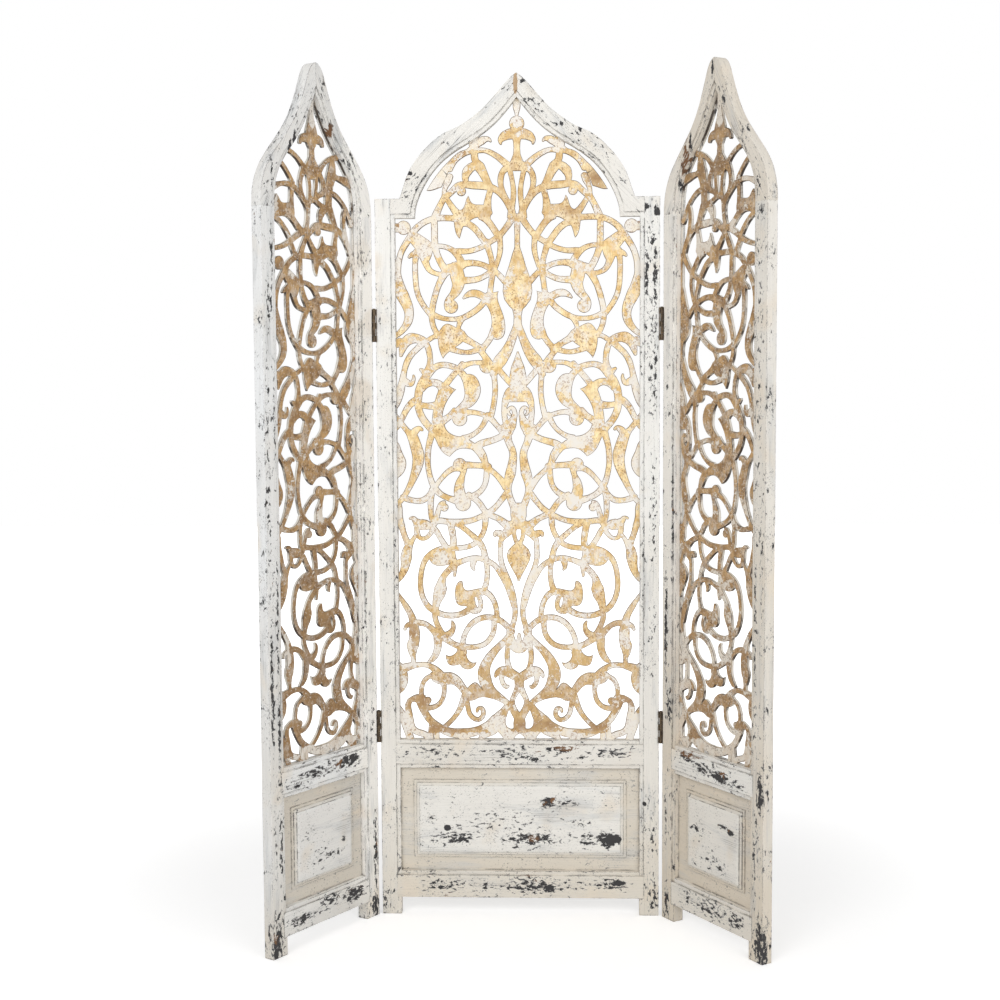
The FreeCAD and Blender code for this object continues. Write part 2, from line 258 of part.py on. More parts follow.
# Leaves drawn by their outlines: smooth runs that meet in points
leaf_shares = [
    [[(0.395, 0.852), (0.385, 0.846), (0.365, 0.8405), (0.33, 0.8385), (0.26, 0.838)],
     [(0.26, 0.838), (0.225, 0.832), (0.215, 0.823), (0.22, 0.815)],
     [(0.22, 0.815), (0.27, 0.8175), (0.33, 0.8185), (0.39, 0.813), (0.45, 0.805)],
     [(0.45, 0.805), (0.49, 0.8105), (0.52, 0.820)],
     [(0.52, 0.820), (0.50, 0.832), (0.46, 0.8305), (0.43, 0.837), (0.415, 0.846), (0.395, 0.852)]],
    [[(0.52, 0.815), (0.512, 0.804), (0.497, 0.793), (0.472, 0.7865)],
     [(0.472, 0.7865), (0.458, 0.795), (0.445, 0.803), (0.425, 0.809)],
     [(0.425, 0.809), (0.47, 0.820), (0.52, 0.815)]],
    [[(0.865, 0.797), (0.82, 0.796), (0.765, 0.7895), (0.715, 0.783), (0.68, 0.775)],
     [(0.68, 0.775), (0.695, 0.766), (0.71, 0.757), (0.73, 0.751)],
     [(0.73, 0.751), (0.77, 0.760), (0.81, 0.766), (0.835, 0.771)],
     [(0.835, 0.771), (0.86, 0.777), (0.885, 0.784), (0.865, 0.797)]],
    [[(0.25, 0.704), (0.20, 0.7035), (0.155, 0.7055)],
     [(0.155, 0.7055), (0.162, 0.693), (0.148, 0.684), (0.122, 0.671), (0.104, 0.657), (0.103, 0.644),
      (0.125, 0.634), (0.165, 0.6305), (0.205, 0.6325)],
     [(0.205, 0.6325), (0.222, 0.643), (0.213, 0.655), (0.218, 0.668), (0.24, 0.679), (0.265, 0.6855)],
     [(0.265, 0.6855), (0.285, 0.695), (0.25, 0.704)]],
    [[(0.655, 0.640), (0.625, 0.650), (0.585, 0.6555), (0.53, 0.6525), (0.485, 0.6485)],
     [(0.485, 0.6485), (0.45, 0.6455), (0.432, 0.637)],
     [(0.432, 0.637), (0.45, 0.628), (0.505, 0.620), (0.565, 0.612)],
     [(0.565, 0.612), (0.59, 0.608), (0.615, 0.6015)],
     [(0.615, 0.6015), (0.638, 0.611), (0.652, 0.622), (0.655, 0.640)]],
    [[(0.60, 0.5645), (0.565, 0.559), (0.51, 0.5535)],
     [(0.51, 0.5535), (0.55, 0.5455), (0.585, 0.536), (0.63, 0.525)],
     [(0.63, 0.525), (0.64, 0.545), (0.60, 0.5645)]],
    [[(0.495, 0.5785), (0.46, 0.5675), (0.442, 0.553), (0.448, 0.539), (0.475, 0.532), (0.51, 0.5255),
      (0.55, 0.5175)],
     [(0.55, 0.5175), (0.52, 0.512), (0.47, 0.512), (0.42, 0.5235)],
     [(0.42, 0.5235), (0.365, 0.5295), (0.325, 0.5395), (0.307, 0.552), (0.32, 0.565), (0.355, 0.5745),
      (0.42, 0.5775)],
     [(0.42, 0.5775), (0.45, 0.583), (0.495, 0.5785)]],
    [[(0.157, 0.4965), (0.12, 0.4995), (0.06, 0.500)],
     [(0.06, 0.500), (0.08, 0.483)],
     [(0.08, 0.483), (0.12, 0.4875), (0.157, 0.4965)]],
    [[(0.72, 0.485), (0.685, 0.4765), (0.665, 0.4675), (0.625, 0.456), (0.567, 0.4487)],
     [(0.567, 0.4487), (0.535, 0.455), (0.495, 0.460), (0.44, 0.4615), (0.38, 0.4595)],
     [(0.38, 0.4595), (0.36, 0.467), (0.37, 0.4705), (0.40, 0.4745)],
     [(0.40, 0.4745), (0.44, 0.480), (0.49, 0.4805), (0.545, 0.4835), (0.59, 0.4905), (0.607, 0.499)],
     [(0.607, 0.499), (0.66, 0.505), (0.72, 0.485)]],
    [[(1.06, 0.478), (0.985, 0.468), (0.96, 0.455), (0.932, 0.443), (0.932, 0.433), (0.96, 0.422), (1.06, 0.412)],
     [(1.06, 0.412), (1.06, 0.478)]],
    [[(0.745, 0.2885), (0.715, 0.2795), (0.68, 0.2765), (0.63, 0.2765), (0.58, 0.2785)],
     [(0.58, 0.2785), (0.57, 0.290), (0.585, 0.303)],
     [(0.585, 0.303), (0.66, 0.303), (0.745, 0.2885)]],
    [[(0.49, 0.2525), (0.515, 0.2485), (0.532, 0.237), (0.532, 0.226), (0.515, 0.2165), (0.485, 0.213),
      (0.445, 0.2125), (0.42, 0.2085)],
     [(0.42, 0.2085), (0.385, 0.205), (0.36, 0.213), (0.358, 0.228), (0.33, 0.2305), (0.30, 0.2285)],
     [(0.30, 0.2285), (0.28, 0.240)],
     [(0.28, 0.240), (0.34, 0.2405), (0.40, 0.238), (0.44, 0.238), (0.463, 0.2435), (0.475, 0.2525),
      (0.49, 0.2525)]],
    [[(0.615, 0.1355), (0.607, 0.126), (0.585, 0.119), (0.545, 0.1175), (0.495, 0.1195)],
     [(0.495, 0.1195), (0.468, 0.1135), (0.425, 0.1115), (0.385, 0.1145), (0.355, 0.1235)],
     [(0.355, 0.1235), (0.40, 0.123), (0.43, 0.1285), (0.443, 0.139), (0.455, 0.148)],
     [(0.455, 0.148), (0.52, 0.148)],
     [(0.52, 0.148), (0.525, 0.140), (0.55, 0.135), (0.585, 0.133), (0.615, 0.1355)]],
    [[(0.47, 0.077), (0.42, 0.085), (0.375, 0.0905), (0.335, 0.086)],
     [(0.335, 0.086), (0.30, 0.078), (0.27, 0.070)],
     [(0.27, 0.070), (0.36, 0.066), (0.47, 0.077)]],
    [[(0.36, -0.006), (0.295, 0.001), (0.24, 0.0045), (0.18, 0.0115)],
     [(0.18, 0.0115), (0.15, 0.005), (0.12, -0.006)],
     [(0.12, -0.006), (0.06, -0.006)],
     [(0.06, -0.006), (0.03, 0.005), (-0.012, 0.010)],
     [(-0.012, 0.010), (-0.012, 0.016)],
     [(-0.012, 0.016), (0.04, 0.019)],
     [(0.04, 0.019), (0.075, 0.0165), (0.105, 0.020), (0.116, 0.032), (0.13, 0.043)],
     [(0.13, 0.043), (0.20, 0.033), (0.29, 0.018), (0.36, -0.006)]],
]
ball_shares = [(0.455, 0.859, 0.85), (0.93, 0.804, 1.25), (0.545, 0.682, 1.25), (0.255, 0.590, 1.35),
               (0.482, 0.508, 1.35), (0.485, 0.436, 1.2), (0.615, 0.369, 0.75), (0.46, 0.3755, 1.45)]
# On the axis: (up share, stem widths) from top to bottom
axis_shares = [
    [(0.824, 1.0), (0.805, 1.1), (0.788, 0.95), (0.772, 1.05), (0.760, 2.0), (0.745, 3.0), (0.730, 4.2),
     (0.718, 5.0), (0.705, 5.3), (0.692, 4.7), (0.683, 3.2), (0.677, 1.9), (0.667, 1.4), (0.655, 1.5),
     (0.643, 2.1), (0.637, 2.6)],
    [(0.612, 0.3), (0.600, 1.3), (0.588, 2.4), (0.575, 3.0), (0.565, 3.2), (0.556, 3.2), (0.547, 4.3),
     (0.538, 4.9), (0.5335, 4.0)],
    [(0.376, 1.6), (0.366, 2.9), (0.356, 2.9), (0.345, 2.4), (0.334, 1.8)],
    [(0.314, 0.8), (0.308, 2.4), (0.302, 3.7), (0.294, 4.4), (0.285, 4.0), (0.275, 2.9), (0.265, 1.6),
     (0.258, 0.8), (0.252, 0.4)],
    [(0.170, 0.4), (0.162, 0.9), (0.150, 1.4)],
    [(0.104, 1.4), (0.095, 1.8), (0.085, 1.75), (0.074, 1.9)],
    [(0.040, 1.2), (0.033, 2.0), (0.025, 2.3), (0.017, 2.2), (0.0115, 1.2)],
]
# Crown of the centre panel
crown_scroll_shares = [
    [(0.0, 0.946, 2.0), (0.06, 0.945, 1.9), (0.105, 0.9415, 1.6), (0.130, 0.936, 1.1), (0.129, 0.930, 0.4)],
    [(0.04, 0.893, 1.4), (0.10, 0.902, 1.2), (0.15, 0.910, 1.1), (0.20, 0.916, 1.0), (0.26, 0.9205, 0.9),
     (0.33, 0.9205, 1.0), (0.40, 0.9185, 1.0), (0.455, 0.9145, 1.2), (0.505, 0.907, 1.2), (0.56, 0.893, 1.6)],
    [(0.42, 0.918, 0.8), (0.34, 0.928, 1.3), (0.28, 0.936, 1.4), (0.23, 0.9375, 0.8), (0.212, 0.934, 0.4)],
    [(0.36, 0.928, 1.4), (0.34, 0.945, 1.4)],
    [(0.34, 0.921, 1.2), (0.345, 0.912, 1.3), (0.330, 0.902, 1.3)],
    [(0.545, 0.883, 1.2), (0.562, 0.875, 1.3), (0.585, 0.865, 0.9), (0.595, 0.857, 0.8), (0.585, 0.848, 1.0)],
    [(0.06, 0.895, 1.4), (0.115, 0.888, 1.1), (0.133, 0.877, 1.1), (0.130, 0.866, 1.0), (0.115, 0.856, 1.1),
     (0.09, 0.846, 1.1)],
    [(0.06, 0.893, 1.0), (0.045, 0.880, 0.9), (0.033, 0.868, 0.9), (0.028, 0.856, 1.0), (0.033, 0.844, 1.0),
     (0.045, 0.832, 1.2), (0.055, 0.818, 1.2)],
]
crown_leaf_shares = [
    [[(0.50, 0.911), (0.565, 0.903), (0.63, 0.890), (0.69, 0.875), (0.738, 0.8605)],
     [(0.738, 0.8605), (0.70, 0.8605), (0.655, 0.863), (0.615, 0.8655)],
     [(0.615, 0.8655), (0.598, 0.873), (0.578, 0.882), (0.555, 0.890), (0.535, 0.897), (0.515, 0.9025)],
     [(0.515, 0.9025), (0.50, 0.911)]],
]
crown_axis_shares = [
    [(1.010, 1.2), (0.985, 1.3), (0.9735, 0.6), (0.962, 0.8)],
    [(0.956, 2.3), (0.945, 2.2), (0.933, 1.3), (0.924, 1.15), (0.914, 1.35), (0.905, 2.2), (0.896, 3.6),
     (0.889, 3.4)],
]
crown_ball_shares = [(0.0, 0.961, 1.35)]
# Crown of the side panels, about its own finial
side_scroll_shares = [
    [(0.55, 0.857, 1.2), (0.62, 0.8575, 1.2), (0.68, 0.8525, 1.2), (0.74, 0.846, 1.1), (0.80, 0.8385, 1.1),
     (0.87, 0.832, 1.0), (0.95, 0.8275, 0.9), (1.10, 0.8265, 0.9)],
    [(0.80, 0.842, 1.1), (0.768, 0.830, 1.1), (0.73, 0.8165, 1.2)],
    [(0.785, 0.840, 1.1), (0.825, 0.852, 1.1), (0.87, 0.862, 1.0), (0.92, 0.870, 1.0), (0.99, 0.8765, 1.2),
     (1.10, 0.882, 1.4)],
    [(0.63, 0.856, 1.2), (0.69, 0.8625, 1.3), (0.73, 0.870, 1.2), (0.78, 0.879, 1.4), (0.83, 0.885, 1.8)],
    [(0.772, 0.890, 1.4), (0.770, 0.905, 1.1), (0.765, 0.925, 1.1)],
    [(0.61, 0.853, 1.3), (0.585, 0.868, 1.1), (0.572, 0.882, 1.1), (0.575, 0.894, 1.3), (0.60, 0.9035, 1.3),
     (0.64, 0.911, 1.2), (0.69, 0.9195, 1.1), (0.75, 0.926, 1.1), (0.82, 0.929, 1.0), (0.90, 0.9275, 0.9),
     (0.97, 0.923, 1.3), (1.10, 0.912, 1.6)],
    [(0.575, 0.890, 1.2), (0.555, 0.905, 1.0), (0.545, 0.920, 0.9), (0.550, 0.935, 0.9), (0.565, 0.947, 0.9),
     (0.555, 0.957, 1.2)],
    [(0.595, 0.902, 1.2), (0.640, 0.913, 1.2), (0.660, 0.926, 1.1), (0.653, 0.941, 1.1), (0.60, 0.957, 1.6)],
    [(0.59, 0.953, 1.6), (0.65, 0.9655, 1.0), (0.70, 0.9735, 0.9), (0.76, 0.9795, 0.9), (0.86, 0.984, 1.0)],
    [(0.745, 0.930, 1.0), (0.79, 0.942, 0.9), (0.83, 0.951, 0.9), (0.92, 0.965, 0.9)],
    [(0.515, 1.005, 2.0), (0.58, 1.006, 1.8), (0.63, 1.0035, 1.4), (0.655, 0.996, 0.7)],
    [(0.515, 1.005, 2.0), (0.45, 1.006, 1.8), (0.40, 1.0035, 1.4), (0.375, 0.996, 0.7)],
    [(0.515, 1.070, 1.2), (0.515, 1.040, 1.4), (0.515, 1.030, 2.0), (0.515, 1.020, 2.8), (0.515, 1.008, 3.4),
     (0.515, 0.998, 2.6), (0.515, 0.988, 1.4), (0.515, 0.975, 1.6), (0.515, 0.965, 3.2), (0.515, 0.957, 4.4),
     (0.515, 0.951, 4.0)],
    [(0.44, 0.953, 1.6), (0.385, 0.9645, 1.0), (0.335, 0.973, 0.9), (0.27, 0.979, 0.9)],
    [(0.255, 0.982, 1.0), (0.262, 0.965, 2.0), (0.275, 0.950, 2.5), (0.295, 0.938, 2.2), (0.31, 0.925, 2.1),
     (0.315, 0.912, 1.9), (0.315, 0.898, 1.9)],
    [(0.26, 0.979, 1.0), (0.20, 0.982, 1.2)],
    [(0.26, 0.953, 1.8), (0.20, 0.949, 1.0), (0.15, 0.9475, 1.3), (0.10, 0.9455, 1.6), (0.02, 0.938, 1.4)],
    [(0.44, 0.955, 1.4), (0.395, 0.943, 1.2), (0.375, 0.931, 1.3), (0.39, 0.921, 1.2), (0.43, 0.917, 1.0),
     (0.47, 0.912, 1.1), (0.53, 0.906, 0.9)],
    [(0.47, 0.956, 1.4), (0.463, 0.941, 0.9), (0.468, 0.927, 0.9), (0.48, 0.910, 1.0)],
    [(0.34, 0.917, 1.4), (0.26, 0.9225, 1.0), (0.20, 0.918, 1.0), (0.14, 0.9095, 0.9), (0.095, 0.900, 1.0),
     (0.06, 0.888, 1.1), (0.02, 0.874, 1.2)],
    [(0.09, 0.901, 1.0), (0.122, 0.884, 1.1), (0.118, 0.868, 1.1), (0.10, 0.852, 1.2), (0.06, 0.838, 1.2)],
    [(0.55, 0.911, 0.9), (0.48, 0.908, 1.0), (0.43, 0.903, 1.0), (0.37, 0.898, 1.2)],
]
side_leaf_shares = [
    [[(0.95, 0.9115), (0.92, 0.906), (0.895, 0.900), (0.84, 0.899), (0.77, 0.900)],
     [(0.77, 0.900), (0.745, 0.895), (0.735, 0.886), (0.745, 0.875)],
     [(0.745, 0.875), (0.79, 0.875), (0.85, 0.8775), (0.92, 0.876), (0.98, 0.872)],
     [(0.98, 0.872), (0.995, 0.888), (0.98, 0.902), (0.95, 0.9115)]],
]

# Half outlines of the arches, from the spring to the apex: (share of the span, share of the rise)
centre_outer_shares = [
    (1.0, 0.0), (0.968, 0.084), (0.929, 0.191), (0.853, 0.313), (0.754, 0.420), (0.623, 0.519),
    (0.492, 0.576), (0.381, 0.645), (0.282, 0.721), (0.202, 0.802), (0.119, 0.893), (0.056, 0.958), (0.0, 1.0)]
centre_inner_shares = [
    (1.0, 0.0), (0.982, 0.119), (0.941, 0.213), (0.868, 0.328), (0.755, 0.451), (0.623, 0.545),
    (0.473, 0.625), (0.345, 0.695), (0.214, 0.786), (0.118, 0.874), (0.045, 0.951), (0.0, 1.0)]
side_outer_shares = [
    (1.0, 0.0), (0.985, 0.070), (0.930, 0.180), (0.810, 0.295), (0.677, 0.385), (0.540, 0.475),
    (0.400, 0.580), (0.290, 0.695), (0.210, 0.805), (0.155, 0.890), (0.108, 0.950), (0.055, 0.986), (0.0, 1.0)]
side_inner_shares = [
    (1.0, 0.0), (0.990, 0.120), (0.930, 0.260), (0.822, 0.370), (0.664, 0.475), (0.490, 0.580),
    (0.340, 0.685), (0.221, 0.790), (0.119, 0.890), (0.055, 0.952), (0.0, 1.0)]
cap_share = 0.3
bend_steps = 2

doc = FreeCAD.newDocument("folding_screen")
sheet = doc.addObject("Spreadsheet::Sheet", "Sizes")
for row, (alias, value) in enumerate(sizes.items(), 1):
    sheet.set(f"A{row}", alias)
    sheet.set(f"B{row}", str(value))
    sheet.setAlias(f"B{row}", alias)
sheet.set("D1", str(fold_angle))
sheet.setAlias("D1", "fold_angle")
doc.recompute()


def size(alias):
    return float(getattr(sheet, alias))


def named(formula):
    return re.sub(r"[a-z]+(_[a-z]+)*", lambda found: "Sizes." + found.group()
                  if found.group() in sizes or found.group() == "fold_angle" else found.group(), formula)


def bind(item, formulas):
    for path, formula in formulas.items():
        item.setExpression(path, named(formula))
    return item


def at(x, y, z):
    return {"Placement.Base.x": x, "Placement.Base.y": y, "Placement.Base.z": z}


def across(side, near, far):
    # A stretch between two distances from the middle, on the side named by its sign.
    start = f"{near}" if side > 0 else f"-({far})"
    return start, f"({far}) - ({near})"


def block(x, y, z, run, depth, rise):
    item = doc.addObject("Part::Box", "Block")
    bind(item, {"Length": run, "Width": depth, "Height": rise})
    return bind(item, at(x, y, z))


def slab(side, near, far, front, back, low, high):
    start, run = across(side, near, far)
    return block(start, front, low, run, f"({back}) - ({front})", f"({high}) - ({low})")


def rod(radius, length, x, y, z, turn=None):
    item = doc.addObject("Part::Cylinder", "Rod")
    if turn:
        item.Placement = FreeCAD.Placement(FreeCAD.Vector(), turn)
    bind(item, {"Radius": radius, "Height": length})
    return bind(item, at(x, y, z))


def taper(wide, narrow, length, x, y, z, turn):
    item = doc.addObject("Part::Cone", "Taper")
    item.Placement = FreeCAD.Placement(FreeCAD.Vector(), turn)
    bind(item, {"Radius1": wide, "Radius2": narrow, "Height": length})
    return bind(item, at(x, y, z))


def joined(pieces, label="Joined"):
    if len(pieces) == 1:
        return pieces[0]
    item = doc.addObject("Part::MultiFuse", label)
    item.Shapes = pieces
    item.Refine = True
    return item


def cut(wood, cutters, label="Cut"):
    item = doc.addObject("Part::Cut", label)
    item.Base = wood
    item.Tool = joined(cutters)
    item.Refine = True
    return item


def inward(side):
    # Turns an upright rod so that it points from the given side to the panel's middle.
    return FreeCAD.Rotation(FreeCAD.Vector(0, -side, 0), 90)


parts = []


def finish(item, label, panel):
    item.Label = label
    bind(item, panel["place"])
    parts.append(item)
    return item


# The free edges of the folded panels stand this far in front of the centre panel, and half of the
# whole depth brings the middle to the origin.
forward = ("(side_width + panel_gap/2)*sin(fold_angle*1deg)"
           " + axis_proud*(1 - cos(fold_angle*1deg))")
set_back = f"({forward} - thickness)/2"


def folded(side):
    # The hinge axis of a side panel falls on that of the centre panel; the panel turns about it.
    hold = f"(side_width + panel_gap)/2*{-side}"
    sine = f"sin({-side}*fold_angle*1deg)"
    cosine = "cos(fold_angle*1deg)"
    return {"Placement.Base.x": f"(centre_width + panel_gap)/2*{side} - ({hold}*{cosine} + axis_proud*{sine})",
            "Placement.Base.y": f"{set_back} - axis_proud - ({hold}*{sine} - axis_proud*{cosine})",
            "Placement.Rotation.Angle": f"{-side}*fold_angle"}


panels = {
    "centre": {"side": 0, "half": "centre_width/2", "place": {"Placement.Base.y": set_back}, "hinged": [-1, 1],
               "top": "shoulder_height", "names": {-1: "left", 1: "right"}},
    "left": {"side": -1, "half": "side_width/2", "place": folded(-1), "hinged": [1],
             "top": "spring_height", "names": {-1: "outer", 1: "inner"}},
    "right": {"side": 1, "half": "side_width/2", "place": folded(1), "hinged": [-1],
              "top": "spring_height", "names": {-1: "inner", 1: "outer"}},
}
board_back = "board_setback + board_thickness"
groove_back = f"{board_back} + groove_slack"
bottom_rail_top = "foot_height + bottom_rail_height"
lock_rail_top = "lock_rail_foot + lock_rail_height"
rails = {"bottom_rail": ("foot_height", bottom_rail_top, False),
         "lock_rail": ("lock_rail_foot", lock_rail_top, True)}
hinge_rows = {"lower": "lower_hinge", "upper": "upper_hinge"}


def screw_spots(row):
    return [f"{row} + {step}*screw_pitch" for step in (-1, 0, 1)]


def dowel_spots(panel, side):
    # Two dowels cross each joint between a stile and its half of the arch.
    spots = []
    for step in (-1, 1):
        if panel["side"] == 0:
            x = f"{side}*({panel['half']} - stile_width + dowel_length/2)"
            z = f"(spring_height + shoulder_height)/2 + {step}*dowel_pitch/2"
            spots.append((x, z, inward(side)))
        else:
            x = f"{side}*({panel['half']} - stile_width/2) + {step}*dowel_pitch/2"
            spots.append((x, "spring_height - dowel_length/2", None))
    return spots


def stile(panel, side):
    half = panel["half"]
    edge = f"{half} - stile_width"
    wood = slab(side, edge, half, "0", "thickness", "0", panel["top"])
    cutters = [slab(side, f"{edge} - overrun", f"{edge} + step_width", "-overrun", "step_depth",
                    "foot_height", f"{panel['top']} + overrun")]
    groove_top = "spring_height + groove_depth" if panel["side"] == 0 else "spring_height + overrun"
    cutters.append(slab(side, f"{edge} - overrun", f"{edge} + groove_depth", "board_setback", groove_back,
                        f"{bottom_rail_top} - groove_depth", groove_top))
    for low, high, double in rails.values():
        foot = f"{low} + groove_depth"
        cutters.append(slab(side, f"{edge} - overrun", f"{edge} + tenon_length + tenon_slack", "board_setback",
                            groove_back, foot, f"{high} - groove_depth + groove_slack"))
    for x, z, turn in dowel_spots(panel, side):
        cutters.append(rod("dowel_radius + dowel_slack", "dowel_length", x, "dowel_setback", z, turn))
    if side in panel["hinged"]:
        for row in hinge_rows.values():
            cutters.append(slab(side, f"{half} - leaf_thickness", f"{half} + overrun", "-overrun", "leaf_depth",
                                f"{row} - hinge_length/2", f"{row} + hinge_length/2"))
            for z in screw_spots(row):
                cutters.append(rod("screw_radius + screw_clearance", "screw_length + screw_clearance",
                                   f"{side}*({half})", "screw_inset", z, inward(side)))
    return cut(wood, cutters)


def rail(panel, low, high, double):
    edge = f"{panel['half']} - stile_width"
    body = block(f"-({edge})", "0", low, f"2*({edge})", "thickness", f"({high}) - ({low})")
    extra = [body]
    for side in (-1, 1):
        extra.append(slab(side, edge, f"{edge} + tenon_length", "board_setback", board_back,
                          f"{low} + groove_depth", f"{high} - groove_depth"))
        extra.append(slab(side, edge, f"{edge} + step_width", "0", "step_depth", low, high))
    cutters = []
    for top in ([True, False] if double else [True]):
        for reach, front, back in (("step_width", "-overrun", "step_depth"),
                                   ("groove_depth", "board_setback", groove_back)):
            z = f"{high} - {reach}" if top else f"{low} - overrun"
            cutters.append(block(f"-({panel['half']})", front, z, f"2*({panel['half']})",
                                 f"({back}) - ({front})", f"{reach} + overrun"))
    return cut(joined(extra), cutters)


def field_layer(edge, inset, front, depth):
    # A flat layer of the raised field, set in from the frame's edge on all four sides.
    half = f"{edge} - ({inset})"
    return block(f"-({half})", front, f"{bottom_rail_top} + {inset}", f"2*({half})", depth,
                 f"lock_rail_foot - ({bottom_rail_top}) - 2*({inset})")


def base_panel(panel):
    edge = f"{panel['half']} - stile_width"
    board = block(f"-({edge} + tongue)", "board_setback", f"{bottom_rail_top} - groove_depth",
                  f"2*({edge} + tongue)", "board_thickness",
                  f"lock_rail_foot + tongue - ({bottom_rail_top} - groove_depth)")
    layers = [board]
    ledge_front = "board_setback - ledge_rise"
    layers.append(field_layer(edge, "ledge_margin", ledge_front, "ledge_rise"))
    for number in range(bead_count):
        inset = f"ledge_margin + ledge_width + {number}*bead_run"
        front = f"{ledge_front} - {number}*(quirk_rise + bead_rise) - quirk_rise"
        layers.append(field_layer(edge, inset, front, "quirk_rise"))
        bead = doc.addObject("Part::Wedge", "Bead")
        half = f"{edge} - ({inset})"
        low = f"{bottom_rail_top} + {inset}"
        high = f"lock_rail_foot - ({inset})"
        bind(bead, {"Xmin": f"-({half}) + bead_run", "Xmax": f"{half} - bead_run",
                    "Zmin": f"{low} + bead_run", "Zmax": f"{high} - bead_run",
                    "X2min": f"-({half})", "X2max": half, "Z2min": low, "Z2max": high,
                    "Ymin": f"{front} - bead_rise", "Ymax": front})
        layers.append(bead)
    return joined(layers)


# The curved members and the fretwork

def spot(x, z):
    return FreeCAD.Vector(x, 0, z)


def curve_through(points):
    line = Part.BSplineCurve()
    line.interpolate(points)
    return line


def side_points(points, reach):
    # Points shifted square to the curve, to its left as it runs.
    line = curve_through(points)
    moved = []
    for point in points:
        along = line.tangent(line.parameter(point))[0]
        moved.append(point + FreeCAD.Vector(-along.z, 0, along.x) * reach)
    return moved


def flipped(points):
    return [spot(-point.x, point.z) for point in points]


def half_arch(panel, which):
    centre = panel["side"] == 0
    if which == "outer":
        shares = centre_outer_shares if centre else side_outer_shares
        span = size("centre_outer_span") if centre else size("side_width") / 2
        low = size("shoulder_height") if centre else size("side_outer_spring")
        high = size("centre_apex") if centre else size("side_apex")
    else:
        shares = centre_inner_shares if centre else side_inner_shares
        span = size("centre_inner_span") if centre else half_opening(panel)
        low = size("spring_height")
        high = size("centre_inner_apex") if centre else size("side_inner_apex")
    return [spot(-span * far, low + (high - low) * up) for far, up in shares]


def half_opening(panel):
    width = size("centre_width") if panel["side"] == 0 else size("side_width")
    return width / 2 - size("stile_width")


def arch_face(panel, reach):
    # The pointed head of the opening, grown outward by the reach.
    points = half_arch(panel, "inner")
    points = side_points(points, reach)
    line = curve_through(points)
    along = line.tangent(line.LastParameter)[0]
    end = points[-1]
    peak = spot(0, end.z - end.x * along.z / along.x)
    other = flipped(points)[::-1]
    edges = [line.toShape()]
    if reach > 0:
        edges += [Part.makeLine(end, peak), Part.makeLine(peak, other[0])]
    edges += [curve_through(other).toShape(), Part.makeLine(other[-1], points[0])]
    return Part.Face(Part.Wire(edges))


def merged(faces):
    # One flat outline from faces that overlap: it keeps the edges that only one of their pieces has.
    owners = {}
    for face in faces[0].multiFuse(faces[1:]).Faces:
        for edge in face.Edges:
            owners.setdefault(edge.hashCode(), []).append(edge)
    rim = [found[0] for found in owners.values() if len(found) == 1]
    wires = [Part.Wire(chain) for chain in Part.sortEdges(rim)]
    return Part.makeFace(wires, "Part::FaceMakerBullseye")


def opening_face(panel, reach, drop):
    # The whole opening for the fretwork, grown by the reach and dropped at the foot.
    half = half_opening(panel) + reach
    low = size("lock_rail_foot") + size("lock_rail_height") - drop
    high = size("spring_height") + (reach if panel["side"] == 0 else 0)
    corners = [spot(-half, low), spot(half, low), spot(half, high), spot(-half, high), spot(-half, low)]
    square = Part.Face(Part.makePolygon(corners))
    return merged([square, arch_face(panel, reach)])


def deep(face, front, back):
    solid = face.extrude(FreeCAD.Vector(0, back - front, 0))
    solid.translate(FreeCAD.Vector(0, front, 0))
    return solid


def box_between(x, far_x, front, back, low, high):
    corners = [spot(x, low), spot(far_x, low), spot(far_x, high), spot(x, high), spot(x, low)]
    return deep(Part.Face(Part.makePolygon(corners)), front, back)


def arch_half(panel, side):
    past = size("overrun")
    thick = size("thickness")
    spring = size("spring_height")
    edge = half_opening(panel)
    points = half_arch(panel, "outer")
    start = spot(-edge if panel["side"] == 0 else points[0].x, points[0].z)
    foot = spot(start.x, spring)
    edges = [curve_through(points).toShape(), Part.makeLine(points[-1], spot(0, spring)),
             Part.makeLine(spot(0, spring), foot), Part.makeLine(foot, start)]
    if start != points[0]:
        edges.append(Part.makeLine(start, points[0]))
    wood = deep(Part.Face(Part.Wire(Part.sortEdges(edges)[0])), 0, thick)
    groove_end = size("board_setback") + size("board_thickness") + size("groove_slack")
    for reach, front, back in ((0, -past, thick + past), (size("step_width"), -past, size("step_depth")),
                               (size("groove_depth"), size("board_setback"), groove_end)):
        wood = wood.cut(deep(opening_face(panel, reach, reach), front, back))
    if panel["side"] == 0:
        wood = wood.fuse(box_between(-edge - size("step_width"), -edge, 0, size("step_depth"),
                                     spring + size("step_width"), points[0].z)).removeSplitter()
    slot_top = (size("centre_apex") if panel["side"] == 0 else size("side_apex")) - size("spline_drop")
    slack = size("spline_slack")
    slot = box_between(-size("spline_width") / 2 - slack, past, size("spline_setback"),
                       size("spline_setback") + size("spline_thickness") + slack,
                       slot_top - size("spline_height"), slot_top + slack)
    wood = wood.cut(slot)
    for step in (-1, 1):
        bore = Part.makeCylinder(size("dowel_radius") + size("dowel_slack"), size("dowel_length"))
        if panel["side"] == 0:
            bore.rotate(FreeCAD.Vector(), FreeCAD.Vector(0, 1, 0), 90)
            place = spot(-edge - size("dowel_length") / 2,
                         (spring + size("shoulder_height")) / 2 + step * size("dowel_pitch") / 2)
        else:
            place = spot(-edge - size("stile_width") / 2 + step * size("dowel_pitch") / 2,
                         spring - size("dowel_length") / 2)
        bore.translate(place + FreeCAD.Vector(0, size("dowel_setback"), 0))
        wood = wood.cut(bore)
    if side > 0:
        wood = wood.mirror(FreeCAD.Vector(), FreeCAD.Vector(1, 0, 0))
    return wood


